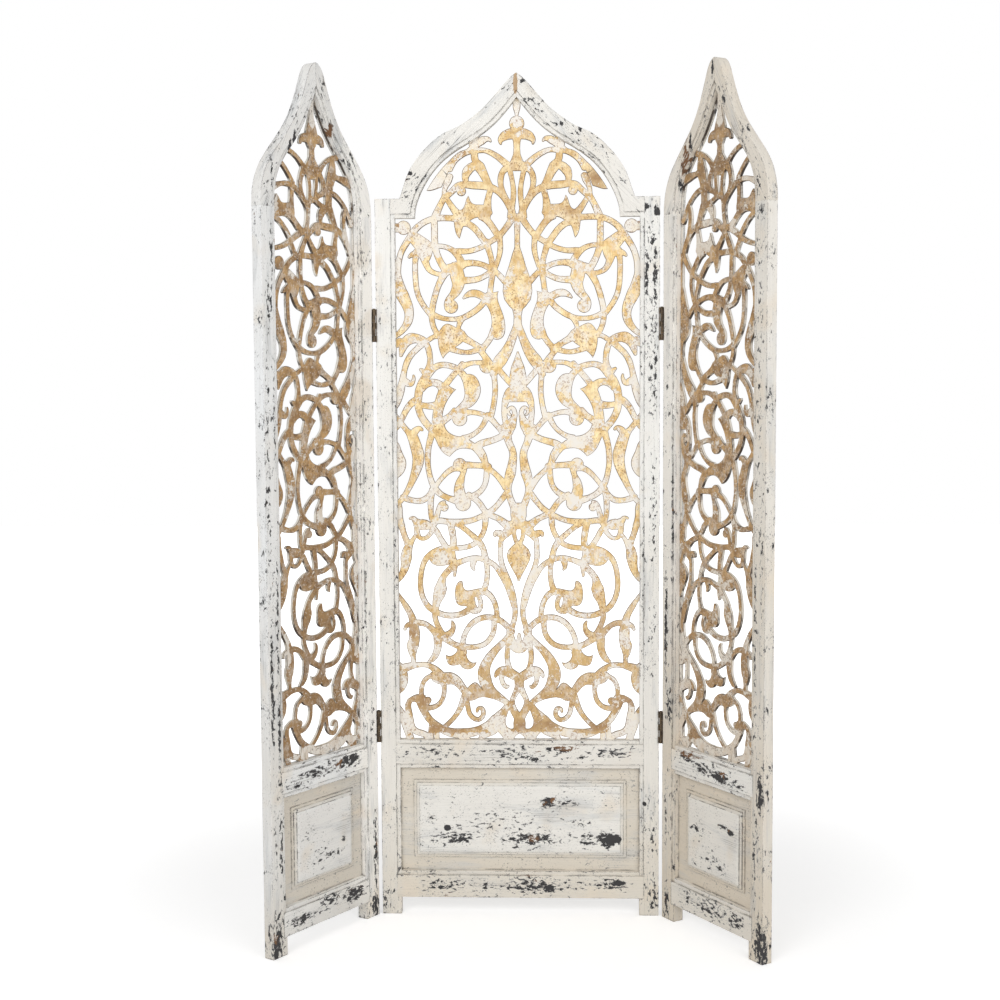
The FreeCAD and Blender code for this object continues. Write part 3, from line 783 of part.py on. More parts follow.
def strip(points, widths, round_ends):
    # A stem of varying width along a smooth line.
    line = curve_through(points)
    stops = [line.parameter(point) for point in points]
    left, right = [], []
    for number, start in enumerate(stops[:-1]):
        last = number == len(stops) - 2
        for step in range(bend_steps + (1 if last else 0)):
            part = step / bend_steps
            stop = start + (stops[number + 1] - start) * part
            wide = widths[number] + (widths[number + 1] - widths[number]) * part
            along = line.tangent(stop)[0]
            reach = FreeCAD.Vector(-along.z, 0, along.x) * (wide / 2)
            left.append(line.value(stop) + reach)
            right.append(line.value(stop) - reach)
    edges = [curve_through(left).toShape(), curve_through(right[::-1]).toShape()]
    for stop, ends, wide, way in ((stops[-1], (left[-1], right[-1]), widths[-1], 1),
                                  (stops[0], (right[0], left[0]), widths[0], -1)):
        if round_ends:
            tip = line.value(stop) + line.tangent(stop)[0] * (way * wide * cap_share)
            cap = Part.Arc(ends[0], tip, ends[1]).toShape()
        else:
            cap = Part.makeLine(*ends)
        edges.append(cap)
    return Part.Face(Part.Wire(Part.sortEdges(edges)[0]))


def leaf_blade(runs, place):
    edges = []
    for run in runs:
        points = [place(far, up) for far, up in run]
        edges.append(curve_through(points).toShape() if len(points) > 2 else Part.makeLine(*points))
    return Part.Face(Part.Wire(edges))


def ornament(run, rise, stem, scrolls, leaves, balls, upright):
    # One half of the pattern, to the left of its axis and up from the foot of the fretwork.
    low = size("lock_rail_foot") + size("lock_rail_height")

    def place(far, up):
        return spot(-far * run, low + up * rise)

    faces = [strip([place(far, up) for far, up, wide in track], [wide * stem for far, up, wide in track], True)
             for track in scrolls]
    faces += [leaf_blade(runs, place) for runs in leaves]
    for far, up, wide in balls:
        rim = Part.makeCircle(wide * stem, place(far, up), FreeCAD.Vector(0, 1, 0))
        faces.append(Part.Face(Part.Wire(rim)))
    faces += [strip([place(0, up) for up, wide in track], [wide * stem for up, wide in track], False)
              for track in upright]
    return faces


def fretwork(panel):
    outer = opening_face(panel, size("tongue"), size("groove_depth"))
    rim = outer.cut(opening_face(panel, 0, 0))
    if panel["side"] == 0:
        half = merged(ornament(half_opening(panel), size("centre_fret_rise"), size("centre_stem"),
                               scroll_shares + crown_scroll_shares, leaf_shares + crown_leaf_shares,
                               ball_shares + crown_ball_shares, axis_shares + crown_axis_shares))
        other = half.mirror(FreeCAD.Vector(), FreeCAD.Vector(1, 0, 0))
        face = merged([half.common(outer), other.common(outer), rim])
    else:
        half = merged(ornament(size("side_fret_run"), size("side_fret_rise"), size("side_stem"),
                               scroll_shares + side_scroll_shares, leaf_shares + side_leaf_shares,
                               ball_shares, axis_shares))
        half.translate(spot(half_opening(panel), 0))
        face = merged([half.common(outer), rim])
        if panel["side"] > 0:
            face = face.mirror(FreeCAD.Vector(), FreeCAD.Vector(1, 0, 0))
    front = size("board_setback")
    return deep(face, front, front + size("board_thickness"))


# Butt hinges

def knuckle_spans(row, odd):
    # The knuckles of one leaf: every second one of those that share the hinge's length.
    pitch = f"hinge_length/{knuckle_count}"
    spans = []
    for number in range(0 if odd else 1, knuckle_count, 2):
        low = f"{row} - hinge_length/2 + {number}*{pitch}"
        below = 0 if number == 0 else 1
        above = 0 if number == knuckle_count - 1 else 1
        spans.append((f"{low} + {below}*knuckle_gap/2", f"{pitch} - {below + above}*knuckle_gap/2"))
    return spans


def hinge_leaf(panel, side, row, odd):
    half = panel["half"]
    axis = f"{half} + panel_gap/2"
    bottom = f"{row} - hinge_length/2"
    web_front = "-axis_proud - web_thickness/2"
    metal = [slab(side, f"{half} - leaf_thickness", half, "0", "leaf_depth", bottom, f"{row} + hinge_length/2")]
    for low, rise in knuckle_spans(row, odd):
        metal.append(slab(side, f"{half} - leaf_thickness", half, web_front, "leaf_thickness", low,
                          f"{low} + {rise}"))
        metal.append(slab(side, f"{half} - leaf_thickness", axis, web_front, "-axis_proud + web_thickness/2", low,
                          f"{low} + {rise}"))
        metal.append(rod("knuckle_radius", rise, f"{side}*({axis})", "-axis_proud", low))
    holes = [rod("pin_radius + pin_clearance", "hinge_length + 2*overrun", f"{side}*({axis})", "-axis_proud",
                 f"{bottom} - overrun")]
    for z in screw_spots(row):
        holes.append(taper("screw_head_radius", "screw_radius", "screw_head_height",
                           f"{side}*({half})", "screw_inset", z, inward(side)))
        holes.append(rod("screw_radius + screw_clearance", "leaf_thickness + overrun",
                         f"{side}*({half})", "screw_inset", z, inward(side)))
    return cut(joined(metal), holes)


def hinge_pin(panel, side, row):
    x = f"{side}*({panel['half']} + panel_gap/2)"
    top = f"{row} + hinge_length/2"
    shank = rod("pin_radius", "hinge_length", x, "-axis_proud", f"{row} - hinge_length/2")
    head = rod("pin_head_radius", "pin_head_height", x, "-axis_proud", top)
    return joined([shank, head])


def screws(panel):
    group = []
    for side in panel["hinged"]:
        x = f"{side}*({panel['half']})"
        for row in hinge_rows.values():
            for z in screw_spots(row):
                head = taper("screw_head_radius", "screw_radius", "screw_head_height", x, "screw_inset", z,
                             inward(side))
                shank = rod("screw_radius", "screw_length", x, "screw_inset", z, inward(side))
                group.append(joined([head, shank]))
    return together(group)


def dowels(panel):
    group = []
    for side in (-1, 1):
        for x, z, turn in dowel_spots(panel, side):
            group.append(rod("dowel_radius", "dowel_length", x, "dowel_setback", z, turn))
    return together(group)


def together(pieces):
    item = doc.addObject("Part::Compound", "Group")
    item.Links = pieces
    return item


def apex_spline(panel):
    apex = "centre_apex" if panel["side"] == 0 else "side_apex"
    key = block("-spline_width/2", "spline_setback", f"{apex} - spline_drop - spline_height",
                "spline_width", "spline_thickness", "spline_height")
    return together([key])


def shaped(shape):
    # The shape keeps its own place in the panel, and the group takes the panel's place.
    item = doc.addObject("Part::Feature", "Shaped")
    item.Shape = shape
    return together([item])


side_board = None
for name, panel in panels.items():
    for side, word in panel["names"].items():
        finish(stile(panel, side), f"{name}_{word}_stile", panel)
        finish(shaped(arch_half(panel, side)), f"{name}_{word}_arch", panel)
    for word, (low, high, double) in rails.items():
        finish(rail(panel, low, high, double), f"{name}_{word}", panel)
    if name == "right":
        board = side_board.mirror(FreeCAD.Vector(), FreeCAD.Vector(1, 0, 0))
    else:
        board = fretwork(panel)
        side_board = board
    finish(shaped(board), f"{name}_fretwork", panel)
    finish(base_panel(panel), f"{name}_base_panel", panel)
    finish(dowels(panel), f"{name}_arch_dowels", panel)
    finish(apex_spline(panel), f"{name}_apex_spline", panel)
    finish(screws(panel), f"{name}_hinge_screws", panel)

for name, side in (("left", -1), ("right", 1)):
    for word, row in hinge_rows.items():
        finish(hinge_leaf(panels["centre"], side, row, True), f"{name}_{word}_hinge_fixed_leaf", panels["centre"])
        finish(hinge_leaf(panels[name], -side, row, False), f"{name}_{word}_hinge_moving_leaf", panels[name])
        finish(hinge_pin(panels["centre"], side, row), f"{name}_{word}_hinge_pin", panels["centre"])

doc.recompute()
for item in doc.Objects:
    if "Invalid" in item.State or "Error" in item.State:
        raise RuntimeError(f"{item.Label} did not compute")
os.makedirs("parts", exist_ok=True)
for item in parts:
    if item.Shape.isNull() or not item.Shape.isValid():
        raise RuntimeError(f"{item.Label} is not a sound shape")
    item.Shape.exportStep(f"parts/{item.Label}.step")
print(len(parts), "parts written")
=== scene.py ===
import math
import bpy
from mathutils import Matrix, Vector


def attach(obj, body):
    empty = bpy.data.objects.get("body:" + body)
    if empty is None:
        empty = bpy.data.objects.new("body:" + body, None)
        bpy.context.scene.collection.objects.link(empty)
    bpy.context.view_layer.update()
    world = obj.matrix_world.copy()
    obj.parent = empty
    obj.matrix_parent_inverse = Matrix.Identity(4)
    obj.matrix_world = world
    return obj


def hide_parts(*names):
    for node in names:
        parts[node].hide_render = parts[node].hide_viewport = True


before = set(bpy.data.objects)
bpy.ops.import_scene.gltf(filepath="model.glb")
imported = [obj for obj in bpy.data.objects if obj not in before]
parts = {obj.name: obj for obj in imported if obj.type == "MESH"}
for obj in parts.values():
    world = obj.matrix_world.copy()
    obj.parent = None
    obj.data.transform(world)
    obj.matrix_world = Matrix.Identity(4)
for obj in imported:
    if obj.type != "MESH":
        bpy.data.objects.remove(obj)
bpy.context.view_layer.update()        # the three panels, their hinges and the hidden joinery
scene = bpy.context.scene
print("frame:", len(parts), "parts")

# How far each panel is turned at rest, and the body that carries it
panelFrames = {
    "centre": {"turn": 0.0, "body": "centre_panel"},
    "left": {"turn": math.radians(57), "body": "left_panel"},
    "right": {"turn": math.radians(-57), "body": "right_panel"},
}


def frontOf(panel):        # the way the panel's front looks
    turn = panelFrames[panel]["turn"]
    return Vector((math.sin(turn), -math.cos(turn), 0))


def middleOf(panel):        # the middle of the panel's front face, on the floor
    turn = panelFrames[panel]["turn"]
    across = Vector((math.cos(turn), math.sin(turn), 0))
    stiles = [part for name, part in parts.items() if name.startswith(panel) and name.endswith("stile")]
    points = [vertex.co for stile in stiles for vertex in stile.data.vertices]
    runs = [point.dot(across) for point in points]
    depths = [point.dot(frontOf(panel)) for point in points]
    return across * (min(runs) + max(runs)) / 2 + frontOf(panel) * max(depths)


for panel in panelFrames:
    panelFrames[panel]["middle"] = middleOf(panel)


def srgb(red, green, blue):        # a colour as seen on screen, made linear
    def channel(value):
        share = value / 255
        return share / 12.92 if share <= 0.04045 else ((share + 0.055) / 1.055) ** 2.4
    return (channel(red), channel(green), channel(blue), 1.0)


# Small helpers for the material nodes

def newMaterial(name):
    material = bpy.data.materials.new(name)
    material.use_nodes = True
    tree = material.node_tree
    tree.nodes.clear()
    return material, tree


def addNode(tree, kind, inputs=None, **settings):
    made = tree.nodes.new("ShaderNode" + kind)
    for key, value in settings.items():
        setattr(made, key, value)
    for key, value in (inputs or {}).items():
        if isinstance(value, bpy.types.NodeSocket):
            tree.links.new(value, made.inputs[key])
        else:
            made.inputs[key].default_value = value
    return made


def calc(tree, operation, first, second=0.0, third=0.0):
    made = addNode(tree, "Math", {0: first, 1: second, 2: third}, operation=operation)
    return made.outputs[0]


def times(tree, first, *others):
    for other in others:
        first = calc(tree, "MULTIPLY", first, other)
    return first


def gained(tree, value, gain, base):        # value times gain, plus base
    return calc(tree, "MULTIPLY_ADD", value, gain, base)


def lacking(tree, value):        # what is left of 1
    return calc(tree, "SUBTRACT", 1.0, value)


def clamped(tree, value):
    return addNode(tree, "Clamp", {"Value": value}).outputs["Result"]


def rise(tree, value, low, high):        # 0 at low, 1 at high
    made = addNode(tree, "MapRange", {"Value": value, "From Min": low, "From Max": high},
                   interpolation_type="SMOOTHSTEP")
    return made.outputs["Result"]


def grainNoise(tree, point, scale, detail=4.0, rough=0.5, warp=0.0):
    made = addNode(tree, "TexNoise", {"Vector": point, "Scale": scale, "Detail": detail,
                                      "Roughness": rough, "Distortion": warp})
    return made.outputs["Fac"]


def grainMask(tree, point, grain, limits):
    return rise(tree, grainNoise(tree, point, **grain), *limits)


def mixed(tree, share, first, second):
    made = addNode(tree, "MixRGB", {"Fac": share, "Color1": first, "Color2": second})
    return made.outputs["Color"]


def shaded(tree, tone, shade):
    made = addNode(tree, "MixRGB", {"Fac": 1.0, "Color1": tone, "Color2": shade}, blend_type="MULTIPLY")
    return made.outputs["Color"]


def objectPoint(tree):
    return addNode(tree, "TexCoord").outputs["Object"]


def panelPoint(tree, panel):        # a point in the panel's own frame: across, back, up
    place = panelFrames[panel]
    made = addNode(tree, "Mapping", {"Vector": objectPoint(tree), "Location": place["middle"],
                                     "Rotation": (0, 0, place["turn"])}, vector_type="TEXTURE")
    return made.outputs["Vector"]


def drawnOut(tree, point, rate):        # a rate under 1 draws a pattern out along the grain
    return addNode(tree, "Mapping", {"Vector": point, "Scale": (1, 1, rate)}).outputs["Vector"]


def surfaceNormal(tree):
    return addNode(tree, "NewGeometry").outputs["Normal"]


maskSamples = {"arris": 4, "creviceShade": 6}        # rays for each kind of mask


def arrisShare(tree, radius, limits):        # 1 on the arrises, 0 on the flats
    eased = addNode(tree, "Bevel", {"Radius": radius}, samples=maskSamples["arris"]).outputs["Normal"]
    turn = addNode(tree, "VectorMath", {0: surfaceNormal(tree), 1: eased}, operation="DOT_PRODUCT")
    return rise(tree, lacking(tree, turn.outputs["Value"]), *limits)


def openShare(tree, reach):        # 0 in a tight crevice, 1 in the open
    made = addNode(tree, "AmbientOcclusion", {"Distance": reach}, samples=maskSamples["creviceShade"])
    return made.outputs["AO"]


spotLook = {"perMetre": 1000, "softness": 0.6, "depth": 100}        # spots are in mm and reach right through


def spotShare(tree, point, spots):        # soft ovals: across, up, half run, half rise, strength
    share = 0.0
    unit = spotLook["perMetre"]
    for across, up, run, lift, strength in spots:
        place = {"Vector": point, "Location": (across / unit, 0, up / unit),
                 "Scale": (run / unit, spotLook["depth"], lift / unit)}
        oval = addNode(tree, "Mapping", place, vector_type="TEXTURE").outputs["Vector"]
        ball = addNode(tree, "TexGradient", {"Vector": oval}, gradient_type="SPHERICAL").outputs["Fac"]
        soft = calc(tree, "POWER", ball, spotLook["softness"])
        share = calc(tree, "MAXIMUM", share, times(tree, soft, strength))
    return share


def finishSurface(tree, sockets, height=None, relief=None):        # height is bumped as relief says
    if height is not None:
        bump = addNode(tree, "Bump", dict(relief, Height=height))
        sockets["Normal"] = bump.outputs["Normal"]
    shader = addNode(tree, "BsdfPrincipled", sockets)
    output = addNode(tree, "OutputMaterial")
    tree.links.new(shader.outputs["BSDF"], output.inputs["Surface"])


# Distressed paint on the frames

paintColours = {
    "warm": srgb(230, 217, 198), "ash": srgb(196, 199, 201), "chip": srgb(62, 61, 62),
    "wood": srgb(122, 90, 64), "speck": srgb(112, 107, 101), "line": srgb(96, 90, 83),
    "filler": srgb(186, 158, 124), "whiter": srgb(253, 251, 246),
}
# By panel: colours, how far the arrises are rubbed, how dark the painted shade at the foot of the base
# panel's steps is and how much grey shows in the brush marks; then how creamy and how worn each kind of piece
# is
panelPaints = {
    "centre": {"white": srgb(242, 241, 237), "cream": srgb(222, 214, 200),
               "edgeWear": 0.95, "stepShade": 0.35, "ashShare": 0.3,
               "creamy": {"stile": 0.0, "rail": 0.1, "base_panel": 0.36, "arch": 0.26},
               "wear": {"stile": 0.4, "rail": 0.5, "base_panel": 0.25, "arch": 0.52}},
    "left": {"white": srgb(240, 241, 241), "cream": srgb(218, 211, 199),
             "edgeWear": 1.35, "stepShade": 0.75, "ashShare": 0.3,
             "creamy": {"stile": 0.04, "rail": -0.26, "base_panel": 0.6, "arch": 0.3},
             "wear": {"stile": 0.48, "rail": 0.5, "base_panel": 0.25, "arch": 0.52}},
    "right": {"white": srgb(239, 238, 234), "cream": srgb(221, 211, 195),
              "edgeWear": 1.3, "stepShade": 0.9, "ashShare": 0.22,
              "creamy": {"stile": 0.42, "rail": -0.2, "base_panel": 0.6, "arch": 0.78},
              "wear": {"stile": 0.48, "rail": 0.5, "base_panel": 0.25, "arch": 0.52}},
}
ashGain = {"stile": 1.5, "rail": 0.5, "base_panel": 1.4, "arch": 2.3}
hairGain = {"stile": 1.25, "rail": 1.0, "base_panel": 1.0, "arch": 2.1}        # how strong the hair lines are

# Sizes and depths are in metres; limits are where a mask starts and where it is full
paintLook = {
    "chipDraw": 0.5, "brushDraw": 0.012, "smudgeDraw": 0.2, "speckDraw": 0.6,
    "frontDepths": (0.017, 0.013),        # the spots fade out over this depth behind the front
    # tone, with painted light: whiter at the top, warmer towards the foot
    "cloud": {"scale": 6.5, "detail": 3, "rough": 0.55}, "cloudCream": 0.9,
    "lowHeights": (1.25, 0.15), "lowBounceCream": 0.42, "footHeights": (0.24, 0.03), "footBounceCream": 0.35,
    "marginDepths": (0.006, 0.0135), "marginCream": 0.9, "fieldCream": 0.28,
    "warmth": {"scale": 11, "detail": 2}, "warmthLimits": (0.54, 0.72), "warmthShare": 0.5,
    "streak": {"scale": 560, "detail": 3, "rough": 0.6}, "streakGain": 0.32, "streakBase": 0.83,
    "smudge": {"scale": 24, "detail": 4, "rough": 0.65}, "smudgeLimits": (0.5, 0.68),
    # arrises, and the crevices where painted shade goes
    "arrisRadius": 0.0035, "arrisLimits": (0.02, 0.3),
    "creviceReach": 0.006, "creviceLimits": (0.22, 0.5), "creviceShadeShare": 0.8,
    "jointHeight": 1.527, "jointLimits": (0.003, 0.007),
    "broken": {"scale": 55, "detail": 4, "rough": 0.6}, "brokenLimits": (0.38, 0.56),
    "rubbed": {"scale": 17, "detail": 3, "rough": 0.6}, "rubbedLimits": (0.37, 0.55),
    # hair lines, pinholes and flakes
    "patch": {"scale": 13, "detail": 3, "rough": 0.6}, "patchLimits": (0.40, 0.62),
    "hairWear": 0.04, "hairLimits": (0.58, 0.63), "hairSmudge": 0.4, "hairBase": 0.14,
    "speck": {"scale": 400, "detail": 3, "rough": 0.7}, "speckWear": 0.05, "speckLimits": (0.625, 0.66),
    "speckPatch": 0.7, "speckBase": 0.3, "speckShare": 0.9,
    "flake": {"scale": 140, "detail": 8, "rough": 0.68, "warp": 0.45}, "flakeWear": 0.2, "flakeLimit": 0.672,
    "haloLimits": (-0.05, 0.0), "haloShare": 0.3, "chipLimits": (0.0, 0.014),
    "bared": {"scale": 34, "detail": 2}, "baredLimits": (0.64, 0.72), "seamLimits": (1.0, 1.1),
    # finish
    "streakRelief": 0.25, "relief": {"Strength": 0.35, "Distance": 0.0005},
    "roughCloud": 0.2, "roughBase": 0.5, "roughChip": 0.18, "specular": 0.3,
}
# The base panel's steps, in metres behind the front: their foot and height, and where painted shade lies at
# their foot
stepLook = {"foot": 0.0116, "height": 0.003, "shadeLimits": (0.6, 0.5),
            "footLimits": (0.01158, 0.01145), "topLimits": (0.0057, 0.0059)}

# Worn places that show on the front, in mm from the panel's middle and the floor
wornSpots = {
    "centre": {
        "rail": [(-190, 366, 90, 26, 0.75), (-15, 360, 85, 28, 0.9), (30, 350, 30, 14, 1.1),
                 (95, 371, 50, 11, 1.3), (205, 364, 75, 18, 1.0), (-90, 372, 60, 16, 0.6),
                 (130, 352, 60, 14, 0.6), (0, 362, 260, 24, 0.5), (-165, 66, 80, 26, 1.0),
                 (25, 66, 85, 27, 1.15), (60, 62, 34, 15, 1.6), (197, 70, 60, 18, 1.15),
                 (215, 72, 26, 12, 1.6), (-60, 72, 60, 18, 0.7), (10, 66, 260, 26, 0.8)],
        "base_panel": [(80, 250, 70, 18, 0.95), (62, 256, 24, 9, 1.7), (-196, 216, 18, 18, 1.0),
                       (-160, 193, 9, 8, 3.0), (-140, 172, 70, 30, 0.95), (-128, 166, 24, 12, 1.5),
                       (20, 172, 90, 32, 1.0), (60, 168, 40, 14, 1.2), (190, 169, 32, 26, 1.5),
                       (203, 169, 22, 17, 2.6), (150, 170, 30, 26, 1.15), (120, 205, 60, 20, 0.7),
                       (-20, 200, 220, 60, 0.6), (40, 176, 190, 34, 0.7)],
        "stile": [(-300, 30, 20, 60, 0.9), (296, 40, 22, 70, 1.0), (272, 1547, 18, 10, 1.8),
                  (298, 1536, 9, 14, 2.0), (277, 1408, 7, 90, 1.3), (295, 1399, 7, 110, 1.35),
                  (290, 1180, 14, 130, 0.9), (292, 900, 12, 200, 0.8), (290, 620, 12, 160, 0.7),
                  (274, 251, 5, 6, 3.0), (292, 180, 16, 90, 0.8), (-292, 640, 12, 200, 0.45),
                  (-296, 1200, 8, 260, 0.4), (-270, 100, 14, 70, 0.5), (284, 1470, 26, 110, 0.75),
                  (288, 1290, 26, 150, 0.75), (-268, 700, 8, 300, 0.6), (270, 760, 8, 260, 0.7)],
        "arch": [(12, 1812, 7, 6, 2.0), (26, 1772, 20, 9, 1.2), (50, 1748, 24, 9, 1.1),
                 (84, 1722, 30, 9, 0.9), (-228, 1621, 7, 6, 2.2), (130, 1700, 60, 14, 0.55),
                 (180, 1660, 40, 20, 0.55), (-60, 1756, 60, 20, 0.4), (-150, 1694, 60, 24, 0.45),
                 (225, 1610, 20, 30, 0.6), (60, 1752, 90, 34, 0.5), (160, 1684, 80, 44, 0.5)],
    },
    "left": {
        "rail": [(62, 366, 75, 24, 1.25), (85, 368, 30, 14, 1.7), (-30, 362, 85, 20, 1.1),
                 (-90, 348, 55, 18, 0.95), (8, 76, 60, 20, 1.1), (-80, 62, 75, 18, 1.15),
                 (85, 70, 52, 22, 1.45)],
        "base_panel": [(-15, 184, 60, 32, 0.7), (59, 200, 10, 12, 1.4), (-50, 236, 40, 24, 0.55),
                       (20, 176, 50, 14, 0.85)],
        "stile": [(-152, 40, 26, 90, 1.15), (-160, 20, 12, 50, 1.8), (-158, 560, 9, 200, 1.15),
                  (-160, 1000, 10, 360, 0.85), (-146, 760, 14, 120, 0.7), (-150, 1340, 12, 90, 0.9),
                  (-140, 360, 16, 50, 0.8), (-156, 260, 9, 130, 0.85), (156, 24, 16, 44, 1.5),
                  (159, 140, 10, 130, 1.25), (150, 430, 12, 90, 0.8), (136, 700, 6, 260, 0.7),
                  (158, 1000, 8, 300, 0.5), (-140, 1420, 6, 120, 0.95), (-140, 1100, 6, 220, 0.9),
                  (-144, 1338, 7, 16, 1.7), (-140, 690, 7, 210, 1.1), (-140, 470, 8, 150, 1.15),
                  (-140, 230, 8, 150, 1.05), (110, 1452, 8, 30, 1.2)],
        "arch": [(60, 1740, 16, 60, 0.9), (110, 1650, 20, 50, 0.8), (-60, 1690, 12, 60, 0.7),
                 (-150, 1560, 12, 40, 0.8), (20, 1790, 12, 26, 0.9), (-66, 1672, 7, 20, 1.8),
                 (-79, 1651, 7, 20, 1.8), (-135, 1594, 6, 60, 1.05), (43, 1693, 8, 26, 1.8),
                 (36, 1668, 8, 18, 1.7), (85, 1616, 8, 40, 1.6), (109, 1540, 8, 30, 1.6)],
    },
    "right": {
        "rail": [(-80, 376, 50, 13, 1.4), (-21, 360, 62, 20, 1.15), (30, 356, 42, 18, 1.6),
                 (80, 350, 50, 16, 0.9), (0, 66, 125, 30, 0.95), (85, 66, 40, 28, 1.1),
                 (-70, 74, 50, 18, 0.85)],
        "base_panel": [(-50, 226, 50, 14, 0.9), (38, 250, 26, 9, 1.3), (60, 244, 14, 8, 1.4),
                       (0, 176, 60, 36, 0.65), (-40, 200, 30, 20, 0.65), (20, 158, 40, 14, 0.8),
                       (-60, 150, 14, 10, 1.0)],
        "stile": [(160, 40, 22, 80, 1.5), (158, 348, 14, 64, 1.5), (150, 260, 14, 60, 0.9),
                  (140, 480, 20, 110, 0.7), (158, 800, 10, 280, 0.75), (150, 1300, 16, 200, 0.6),
                  (150, 1510, 22, 26, 1.1), (-152, 40, 18, 60, 1.1), (-146, 470, 16, 70, 1.1),
                  (-156, 640, 8, 160, 1.4), (-156, 250, 8, 120, 1.0), (-136, 900, 6, 260, 0.9),
                  (-150, 1200, 10, 200, 0.6), (140, 700, 8, 300, 0.9), (142, 200, 8, 140, 1.0),
                  (146, 1100, 14, 240, 0.7)],
        "arch": [(-6, 1806, 5, 26, 1.8), (-96, 1650, 12, 70, 1.1), (30, 1740, 14, 50, 0.8),
                 (90, 1660, 16, 60, 0.8), (140, 1560, 26, 30, 0.9), (-78, 1668, 6, 26, 1.8),
                 (-90, 1642, 6, 28, 1.8), (-106, 1612, 6, 30, 1.8), (-118, 1578, 6, 30, 1.6),
                 (20, 1700, 8, 30, 1.3)],
    },
}

# Places where chips go down to the wood
baredSpots = {
    "centre": [(110, 378, 40, 12, 1.6), (30, 170, 14, 9, 1.2), (20, 92, 40, 8, 1.2)],
    "left": [(150, 1500, 5, 20, 1.0), (43, 1690, 14, 24, 1.3), (109, 1530, 12, 30, 1.2)],
    "right": [(-62, 384, 60, 12, 1.8), (-96, 1650, 16, 90, 1.6)],
}

# Whiter paint towards the hinges
whiterSpots = {
    "centre": [],
    "left": [(140, 900, 90, 1100, 1.5)],
    "right": [(-140, 1150, 50, 600, 0.8)],
}

# Filler in the joint at the apex
seamSpots = {
    "centre": [(-2, 1808, 7, 34, 1.1)],
    "left": [],
    "right": [],
}


def stepShade(tree, depth):        # 1 at the foot of each step of the raised field, where painted shade goes
    climbed = calc(tree, "SUBTRACT", stepLook["foot"], depth)
    ladder = calc(tree, "FRACT", calc(tree, "DIVIDE", climbed, stepLook["height"]))
    steps = times(tree, rise(tree, depth, *stepLook["footLimits"]), rise(tree, depth, *stepLook["topLimits"]))
    return times(tree, rise(tree, ladder, *stepLook["shadeLimits"]), steps)


